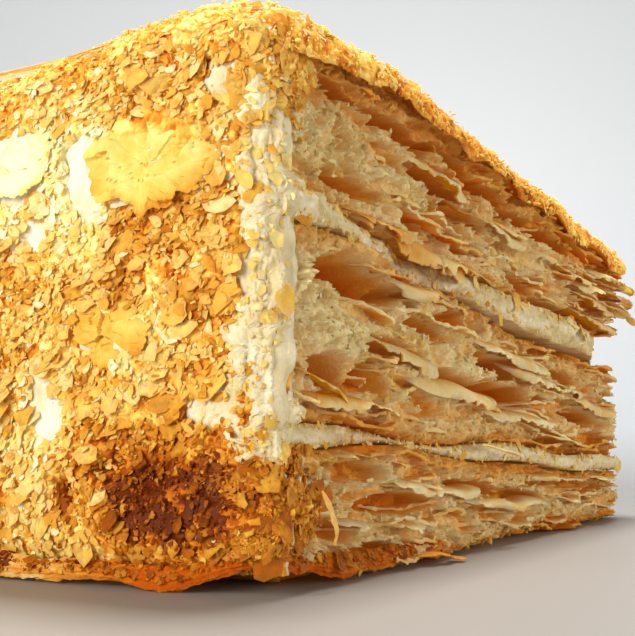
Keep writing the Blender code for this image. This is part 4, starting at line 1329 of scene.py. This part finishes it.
def topCrustPiece():
    # a grid over the top with packed flakes, bent down at its edges; a fan below closes it
    halfX, halfY = topLengths()
    columns, rows = int(2 * halfX / topCrust["step"]), int(2 * halfY / topCrust["step"])
    goneX, goneY = np.meshgrid(np.linspace(-halfX, halfX, columns), np.linspace(-halfY, halfY, rows))
    rise, shade = flakeBed(171, goneX, goneY)
    fromRim = np.minimum(halfX - np.abs(goneX), halfY - np.abs(goneY))
    onEdge = smoothStep(6.5 * mm, 2.5 * mm, fromRim)
    rough = roughNoise(173, 3, goneX / (1.5 * mm), goneY / (1.3 * mm))
    rise = rise * (1 - 0.7 * onEdge) + topCrust["crumbly"] * rough * onEdge
    points, _ = topSurface(goneX, goneY, rise)
    # the flake bed's tone brings its painted shade and highlight
    tone = topCrust["tone"] + shade + 0.10 * smoothNoise(97, goneX / (8 * mm), goneY / (8 * mm))
    tone = tone + (topCrust["edgeTone"] + 0.16 * rough) * onEdge
    place = np.arange(rows * columns).reshape(rows, columns)
    cells = np.stack([place[:-1, :-1], place[:-1, 1:], place[1:, 1:], place[1:, :-1]], -1).reshape(-1, 4)
    rim = np.concatenate([place[0, :-1], place[:-1, -1], place[-1, :0:-1], place[:0:-1, 0]])
    points, count = points.reshape(-1, 3), len(rim)
    halfWide = topCrust["halfWidth"]
    rimX, rimY = points[rim, 0], np.clip(points[rim, 1], -halfWide, halfWide)
    under = []
    for pull in topCrust["underPull"]:
        x, y = rimX - np.sign(rimX) * pull * mm, rimY * (1 - pull / 30)
        lower = 0.72 + 0.12 * smoothNoise(167, x / (4 * mm), y / (4 * mm))
        z = levelHeight("topTop", x, y) - topCrust["edge"] * lower
        under.append(np.stack([x, y, z], -1))
    loops = np.concatenate([rim[None], rows * columns + np.arange(len(under) * count).reshape(-1, count)])
    onward = np.roll(loops, -1, 1)
    walls = np.stack([loops[1:], onward[1:], onward[:-1], loops[:-1]], -1)
    last = loops[-1]
    end = rows * columns + len(under) * count
    fan = np.stack([np.full(count, end), np.roll(last, -1), last], -1)
    points = np.concatenate([points, *under, under[-1].mean(0)[None]])
    allTone = np.concatenate([tone.ravel(), np.full(len(under) * count + 1, topCrust["underTone"])])
    faces = [cells, walls.reshape(-1, 4), fan]
    piece = addPiece("top_flake_bed", points, faces, flakeMaterial, "flaky_crust", tone=allTone)
    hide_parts("pastry_top")


topCrustPiece()
print("top crust made")


def flakeShape(sides, rings):
    # a closed plate seen from above as rings round a centre: radius, angle and which face it is on
    angle = 2 * math.pi * np.arange(sides) / sides
    inner = np.arange(1, rings) / rings
    radius = np.repeat(np.concatenate([inner, [1.0], inner[::-1]]), sides)
    radius = np.concatenate([[0.0], radius, [0.0]])
    turn = np.concatenate([[0.0], np.tile(angle, 2 * rings - 1), [0.0]])
    upper = np.ones(1 + len(inner) * sides)
    face = np.concatenate([upper, np.zeros(sides), -upper])
    i = np.arange(sides)
    j = (i + 1) % sides
    last = 1 + (2 * rings - 1) * sides
    fans = [np.stack([np.zeros(sides, int), 1 + i, 1 + j], -1)]
    for ring in range(2 * rings - 2):
        a, b = 1 + ring * sides, 1 + (ring + 1) * sides
        fans += [np.stack([a + i, b + i, b + j], -1), np.stack([a + i, b + j, a + j], -1)]
    end = 1 + (2 * rings - 2) * sides
    fans.append(np.stack([np.full(sides, last), end + j, end + i], -1))
    return radius, turn, face, np.concatenate(fans)


def flakePiece(name, places, normals, sizes, tones, look, seed):
    # each flake: a plate cut by straight lines all round its place, its outline a little jagged, bent
    # by a cup and a twist, tilted off the surface by chance
    chance = np.random.default_rng(seed)
    radius, turn, face, faces = flakeShape(look["sides"], look["rings"])
    count, corners = len(places), len(radius)
    angle = 2 * math.pi * np.arange(look["sides"]) / look["sides"]
    outline = np.full((count, look["sides"]), 1.35)
    for cut in range(look["cuts"]):
        way = 2 * math.pi * (cut + chance.uniform(-0.4, 0.4, (count, 1))) / look["cuts"]
        away = chance.uniform(*look["cutAt"], (count, 1))
        outline = np.minimum(outline, away / np.clip(np.cos(angle[None] - way), 0.12, 1))
    outline = outline * chance.uniform(1 - look["jagged"], 1 + look["jagged"], outline.shape)
    which = np.round(turn / (2 * math.pi) * look["sides"]).astype(int) % look["sides"]
    reach = radius[None] * outline[:, which] * sizes[:, None]
    narrow = chance.uniform(*look["narrow"], (count, 1))
    flatX = reach * np.cos(turn)[None]
    flatY = reach * np.sin(turn)[None] * narrow
    share = radius[None]
    thick = look["thick"] * (0.6 + 0.8 * chance.random((count, 1)))
    cup = chance.normal(0, look["cup"], (count, 1)) * sizes[:, None]
    twist = chance.normal(0, look["twist"], (count, 1)) / sizes[:, None]
    rise = face[None] * thick / 2 * (1 - 0.6 * share ** 2) + cup * share ** 2 + twist * flatX * flatY
    rise = rise + chance.normal(0, 0.06, (count, corners)) * sizes[:, None] * share
    normals = normals + chance.normal(0, look["tilt"], (count, 3))
    normals = normals / np.linalg.norm(normals, axis=1, keepdims=True)
    helper = chance.normal(0, 1, (count, 3))
    first = np.cross(normals, helper)
    first = first / np.linalg.norm(first, axis=1, keepdims=True)
    second = np.cross(normals, first)
    points = places[:, None] + first[:, None] * flatX[..., None] + second[:, None] * flatY[..., None]
    points = points + normals[:, None] * rise[..., None]
    allFaces = faces[None] + np.arange(count)[:, None, None] * corners
    tone = tones[:, None] + look["edgeTone"] * share ** 3
    points, allFaces = points.reshape(-1, 3), allFaces.reshape(-1, 3)
    addPiece(name, points, allFaces, flakeMaterial, "flaky_crust", tone=tone.ravel())


# middle across and up (mm), tone, and the outline: how far to the right and up from the middle (mm)
largeFlakes = {
    "large_flake_1": (-15.0, 43.8, 0.68, [
        (8.4, -0.2), (7.3, 1.6), (5.9, 3.4), (2.1, 5.5), (-2.8, 5.2), (-6.5, 3.9), (-8.0, 1.3), (-7.4, -0.9),
        (-7.4, -2.6), (-5.9, -3.9), (-3.6, -3.4), (-1.6, -4.5), (-0.4, -6.0), (1.0, -4.9), (2.6, -5.2),
        (4.4, -3.6), (5.4, -3.9), (7.0, -2.0)]),
    "large_flake_2": (3.4, 45.2, 0.97, [
        (3.4, -2.6), (4.6, 3.6), (0.6, 2.8), (-4.6, 0.4), (-4.2, -2.0), (-0.6, -3.4)]),
    "large_flake_3": (-10.5, 26.2, 0.54, [
        (4.8, 0.6), (3.4, 1.6), (2.6, 3.2), (-0.5, 3.0), (-3.8, 2.8), (-4.9, -0.4), (-2.6, -1.4),
        (-2.6, -3.0), (0.5, -3.6), (2.0, -2.0), (3.8, -2.4)]),
}


def outlineReach(outline, way):
    # distance from a large flake's middle to its outline, that way round (mm)
    corners = np.array(outline)
    ways = np.arctan2(corners[:, 1], corners[:, 0]) % (2 * math.pi)
    order = np.argsort(ways)
    return np.interp(way, ways[order], np.hypot(*corners[order].T), period=2 * math.pi)


def onLargeFlakes(y, z):
    # 1 on the inner part of a large flake, where no small flake is strewn
    on = 0.0
    for midY, midZ, _, outline in largeFlakes.values():
        right, up = midY - y / mm, z / mm - midZ
        share = np.hypot(right, up) / outlineReach(outline, np.arctan2(up, right) % (2 * math.pi))
        on = np.maximum(on, smoothStep(0.98, 0.86, share))
    return on


flakeKinds = {
    "broad": {"sides": 12, "rings": 2, "cuts": 5, "cutAt": (0.45, 1.1), "jagged": 0.09, "narrow": (0.5, 0.95),
              "thick": 0.10 * mm, "cup": 0.07, "twist": 0.06, "tilt": 0.11, "edgeTone": -0.05},
    "chip": {"sides": 8, "rings": 1, "cuts": 4, "cutAt": (0.45, 1.1), "jagged": 0.10, "narrow": (0.4, 0.95),
             "thick": 0.12 * mm, "cup": 0.12, "twist": 0.08, "tilt": 0.20, "edgeTone": 0.0},
}
coatLean = 0.30     # flakes on the coat lie like shingles, their lower edges lifted


def scatterOnCoat(count, seed):
    # places on the coat's outer face, kept by chance where coatCover is high
    chance = np.random.default_rng(seed)
    y = chance.uniform(-1, 1, count) * (sliceShape["halfWidth"] - 0.3 * mm)
    z = coatShape["foot"] + chance.random(count) * (coatTop(y) - coatShape["foot"])
    kept = chance.random(count) < coatCover(y, z) * (1 - onLargeFlakes(y, z))
    y, z = y[kept], z[kept]
    places = np.stack([coatSurface(y, z) - crumbBed(y, z), y, z], -1)
    normals = coatNormal(y, z) + np.array([0, 0, coatLean])
    fromEdge = np.minimum(sliceShape["halfWidth"] - np.abs(y), coatTop(y) - z)
    near = 0.45 + 0.55 * smoothStep(0.5 * mm, 6 * mm, fromEdge)
    return places, normals / np.linalg.norm(normals, axis=1, keepdims=True), coatTone(y, z), near, chance


topRimShare = 0.35   # this share of the flakes on top lies along its two long edges


def scatterOnTop(count, seed):
    # places over the whole top crust and its rounded edges; near is 1 in the middle of the top and
    # less towards its edges, where only small flakes hold
    chance = np.random.default_rng(seed)
    halfX, halfY = topLengths()
    goneX, goneY = chance.uniform(-halfX, halfX, count), chance.uniform(-halfY, halfY, count)
    nearRim = np.sign(goneY) * (halfY - np.abs(chance.normal(0, 3.5 * mm, count)))
    goneY = np.where(chance.random(count) < topRimShare, nearRim, goneY)
    rise, _ = flakeBed(171, goneX, goneY)
    places, normals = topSurface(goneX, goneY, rise)
    tone = topCrust["tone"] + 0.02 + 0.10 * smoothNoise(97, goneX / (8 * mm), goneY / (8 * mm))
    fromEdge = np.minimum(halfX - np.abs(goneX), halfY - np.abs(goneY))
    return places, normals, tone, 0.35 + 0.65 * smoothStep(2 * mm, 8 * mm, fromEdge), chance


# flakes: kind, how many, smallest and largest radius, how high they lie (mm), seed, spread of tone.
# specks: how many, smallest size and how much larger (mm), seed, tone above what they lie on
strewn = {
    "coat": {
        "flakes": [("broad", 1650, 0.55, 2.2, 0.40, 301, 0.15), ("chip", 9500, 0.24, 0.85, 0.50, 302, 0.15)],
        "specks": (3500, 0.08, 0.22, 303, 0.02),
        "sizeInBrown": 0.55,
    },
    "top": {
        "flakes": [("broad", 1400, 0.9, 2.9, 0.3, 311, 0.11), ("chip", 4600, 0.26, 0.9, 0.4, 312, 0.11)],
        "specks": (3000, 0.10, 0.30, 313, 0.03),
        "sizeInBrown": 1.0,
    },
}


def strewFlakes(name, scatter):
    # flakes of each kind and then specks, at the places that scatter gives; smaller in brown places
    look = strewn[name]
    brown = look["sizeInBrown"]
    for kind, tries, small, large, lift, seed, spread in look["flakes"]:
        places, normals, tones, near, chance = scatter(tries, seed)
        count = len(places)
        size = (small + (large - small) * chance.random(count) ** 2) * near * mm
        size = size * (brown + (1 - brown) * smoothStep(0.15, 0.45, tones))
        places = places + normals * (lift * mm * chance.random(count))[:, None]
        tones = tones + chance.normal(0, spread, count)
        flakePiece(name + "_" + kind + "_flakes", places, normals, size, tones, flakeKinds[kind], seed)
    tries, small, larger, seed, lighter = look["specks"]
    places, normals, tones, near, chance = scatter(tries, seed)
    count = len(places)
    places = places + normals * (0.3 * mm * chance.random(count))[:, None]
    sizes = small * mm + larger * mm * chance.random(count) ** 2
    crumbPiece(name + "_specks", places, sizes, flakeMaterial, "flaky_crust", seed + 1,
               tone=tones + chance.normal(lighter, 0.12, count))


# patch: broad flakes, chips, specks, tone; the foot's flakes are dark partly as painted shade
patchFlakeSets = {
    "corner_cream": (40, 130, 220, 0.70), "corner_crumb_high": (130, 420, 500, 0.52),
    "corner_crumb_low": (90, 600, 800, 0.27), "foot_crust": (24, 260, 420, 0.16),
}


def patchFlakes():
    # flakes and specks stuck to the corner patches and the foot's crust, at places picked by chance
    sets = {"broad": [], "chip": [], "speck": []}
    chance = np.random.default_rng(321)
    for name, (*counts, tone) in patchFlakeSets.items():
        places, ways = patchPlaces[name]
        for kind, count in zip(sets, counts):
            chosen = chance.integers(0, len(places), count)
            sets[kind].append((places[chosen], ways[chosen], tone + chance.normal(0.02, 0.10, count)))
    for kind, size in (("broad", (0.6, 2.0)), ("chip", (0.28, 0.8))):
        places, ways, tones = (np.concatenate(column) for column in zip(*sets[kind]))
        sizes = (size[0] + (size[1] - size[0]) * chance.random(len(places)) ** 2) * mm
        places = places + ways * 0.1 * mm
        flakePiece("corner_" + kind + "_flakes", places, ways, sizes, tones, flakeKinds[kind], 322)
    places, ways, tones = (np.concatenate(column) for column in zip(*sets["speck"]))
    sizes = 0.10 * mm + 0.26 * mm * chance.random(len(places)) ** 2
    crumbPiece("corner_specks", places, sizes, flakeMaterial, "flaky_crust", 323, tone=tones)


strewFlakes("coat", scatterOnCoat)
patchFlakes()
strewFlakes("top", scatterOnTop)
creamCrumbPieces(creamFaces)
print("flakes made")


largeFlakeMake = {
    "around": 170, "rings": 18, "thick": 0.22 * mm, "standOff": 0.9 * mm,
    "lift": 1.0 * mm,           # the lower lip lifts off
    "sink": 1.3 * mm,           # the upper edge sinks into the coat
    # size and height of the flat panels that it is creased into
    "creases": [(5.0 * mm, 0.55 * mm), (2.0 * mm, 0.18 * mm)],
    "jagged": 0.05,
}


def largeFlakePiece(name, midY, midZ, tone, outline):
    # a closed plate in polar rings: its radius read off the outline by angle, with a jagged edge,
    # creased into flat panels, its upper edge sunk and its lower lip lifted
    around, rings = largeFlakeMake["around"], largeFlakeMake["rings"]
    radius, angle, face, faces = flakeShape(around, rings)
    seed = int(abs(midY) * 10)
    reach = outlineReach(outline, angle) * mm
    wayRight, wayUp = np.cos(angle), np.sin(angle)
    jagged = largeFlakeMake["jagged"] * (smoothNoise(seed + 1, wayRight * 9, wayUp * 9)
                                         + 0.7 * smoothNoise(seed + 2, wayRight * 30, wayUp * 30))
    reach = reach * radius * (1 + radius ** 4 * jagged)
    right, up = reach * wayRight, reach * wayUp
    y, z = midY * mm - right, midZ * mm + up
    out = largeFlakeMake["standOff"] + largeFlakeMake["lift"] * np.clip(-up / (5.5 * mm), 0, 1) ** 2
    out = out - largeFlakeMake["sink"] * np.clip(up / (5.0 * mm), 0, 1) ** 2 * radius
    creased = 0.0
    for number, (size, tall) in enumerate(largeFlakeMake["creases"]):
        warp = 0.3 * smoothNoise(seed + 3, y / size, z / size)
        warpY, warpZ = y + warp * size, z + warp * size
        creased = creased + tall * facets(seed + 4 + number, warpY, warpZ, size, 0.7 * size)
    out = out + creased
    thick = largeFlakeMake["thick"] * (1 - 0.6 * radius ** 2)
    x = coatSurface(y, z) * 0.5 + coatShape["outer"] * 0.5 - out - face * thick / 2
    # the flake's tone: its own mottling and a browner rim, with painted highlight on the raised panels and
    # towards its top, and painted shadow towards its lifted lower lip
    toneWithPaintedLight = tone + 0.13 * roughNoise(seed + 6, 3, y / (3.5 * mm), z / (3.0 * mm)) + 0.10 * creased / mm
    toneWithPaintedLight = toneWithPaintedLight - 0.10 * radius ** 6 + 0.10 * np.clip(up / (5 * mm), -1, 1)
    piece = addPiece(name + "_leaf", np.stack([x, y, z], -1), faces, flakeMaterial, "pale_flake", tone=toneWithPaintedLight)
    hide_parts(name)


for name, (midY, midZ, tone, outline) in largeFlakes.items():
    largeFlakePiece(name, midY, midZ, tone, outline)
print("large flakes made")


stageLook = {
    "heading": 29.35,           # the way the sweep runs, in degrees from +X
    "bendAt": 0.11, "bendRadius": 0.20, "halfWidth": 1.6, "tall": 1.1, "nearEdge": -1.0,
    # distance from the slice's middle along the heading, and the colour there
    "colours": [
        (0.0, (144, 138, 131)), (0.12, (138, 136, 133)), (0.20, (164, 167, 170)), (1.0, (166, 169, 172)),
    ],
    "steps": 12, "bendSteps": 40, "roughness": 0.6,
}


def addStage():
    # a sweep: flat floor, a quarter circle, then a wall, carried straight across behind the slice;
    # its colour is read off a ramp by distance along the heading
    radius, start = stageLook["bendRadius"], stageLook["bendAt"]
    angle = np.linspace(0, math.pi / 2, stageLook["bendSteps"])
    steps = stageLook["steps"]
    away = np.concatenate([[stageLook["nearEdge"]], np.linspace(0, start, steps)[:-1],
                           start + radius * np.sin(angle), [start + radius]])
    height = np.concatenate([np.zeros(steps), radius - radius * np.cos(angle), [stageLook["tall"]]])
    heading = math.radians(stageLook["heading"])
    across = np.array([-1.0, 1.0]) * stageLook["halfWidth"]
    x = away[:, None] * math.cos(heading) + across[None] * math.sin(heading)
    y = away[:, None] * math.sin(heading) - across[None] * math.cos(heading)
    z = height[:, None] + 0 * across[None]
    row = np.arange(len(away) - 1)[:, None] * 2
    faces = row + np.array([[0, 1, 3, 2]])
    mesh = bpy.data.meshes.new("sweep")
    mesh.from_pydata(np.stack([x, y, z], -1).reshape(-1, 3).tolist(), [], faces.tolist())
    mesh.polygons.foreach_set("use_smooth", [True] * len(faces))
    shade = mesh.attributes.new("distance", "FLOAT", "POINT")
    shade.data.foreach_set("value", np.repeat(away + height, 2).astype(np.float32))
    material = bpy.data.materials.new("plain_sweep")
    material.use_nodes = True
    tree = material.node_tree
    driver = addNode(tree, "ShaderNodeAttribute", attribute_name="distance")
    ramp = addRamp(tree, stageLook["colours"])
    tree.links.new(driver.outputs["Fac"], ramp.inputs["Fac"])
    shader = tree.nodes["Principled BSDF"]
    tree.links.new(ramp.outputs["Color"], shader.inputs["Base Color"])
    shader.inputs["Roughness"].default_value = stageLook["roughness"]
    mesh.materials.append(material)
    sweep = bpy.data.objects.new("sweep", mesh)
    bpy.context.scene.collection.objects.link(sweep)


def addLight(name, place, target, size, power, colour):
    # a rectangle of light at place, turned to face target
    light = bpy.data.lights.new(name, "AREA")
    light.shape = "RECTANGLE"
    light.size, light.size_y = size
    light.energy = power
    light.color = colour
    lamp = bpy.data.objects.new(name, light)
    lamp.location = place
    x, y, z = np.array(target) - np.array(place)
    lamp.rotation_euler = (math.atan2(math.hypot(x, y), -z), 0, math.atan2(y, x) - math.pi / 2)
    bpy.context.scene.collection.objects.link(lamp)


# Each light: its place, what it faces, its width and height, its watts, its colour
lights = {
    "key": ((-0.48, 0.06, 0.15), (-0.05, 0.0, 0.03), (0.28, 0.24), 2.7, (1.0, 0.96, 0.88)),
    "front": ((0.04, -0.62, 0.13), (0.0, 0.0, 0.03), (0.6, 0.24), 2.0, (1.0, 0.96, 0.90)),
    "above": ((0.09, 0.0, 0.62), (0.0, 0.0, 0.0), (0.16, 0.16), 5.4, (1.0, 1.0, 1.0)),
}
roomLight = {"colour": (1.0, 0.97, 0.90, 1.0), "strength": 0.23}   # from all round

addStage()
for name, settings in lights.items():
    addLight(name, *settings)
world = bpy.data.worlds.new("soft_room")
world.use_nodes = True
background = world.node_tree.nodes["Background"]
background.inputs["Color"].default_value = roomLight["colour"]
background.inputs["Strength"].default_value = roomLight["strength"]
bpy.context.scene.world = world
bpy.context.scene.view_settings.view_transform = "Standard"

# pixels: the focal length in pixels of the photograph, which is imageWidth of them wide
cameraSet = {
    "place": (-0.16304, -0.09262, 0.01752), "heading": 29.35, "pitch": 4.55,
    "pixels": 1254.6, "imageWidth": 636, "sensor": 36.0,
}
camera = bpy.data.objects.new("camera", bpy.data.cameras.new("camera"))
camera.data.sensor_width = cameraSet["sensor"]
camera.data.lens = cameraSet["pixels"] * cameraSet["sensor"] / cameraSet["imageWidth"]
camera.data.clip_start = 0.005
camera.location = cameraSet["place"]
camera.rotation_euler = (math.radians(90 + cameraSet["pitch"]), 0, math.radians(cameraSet["heading"] - 90))
bpy.context.scene.collection.objects.link(camera)
bpy.context.scene.camera = camera
print("floor, light and camera set")
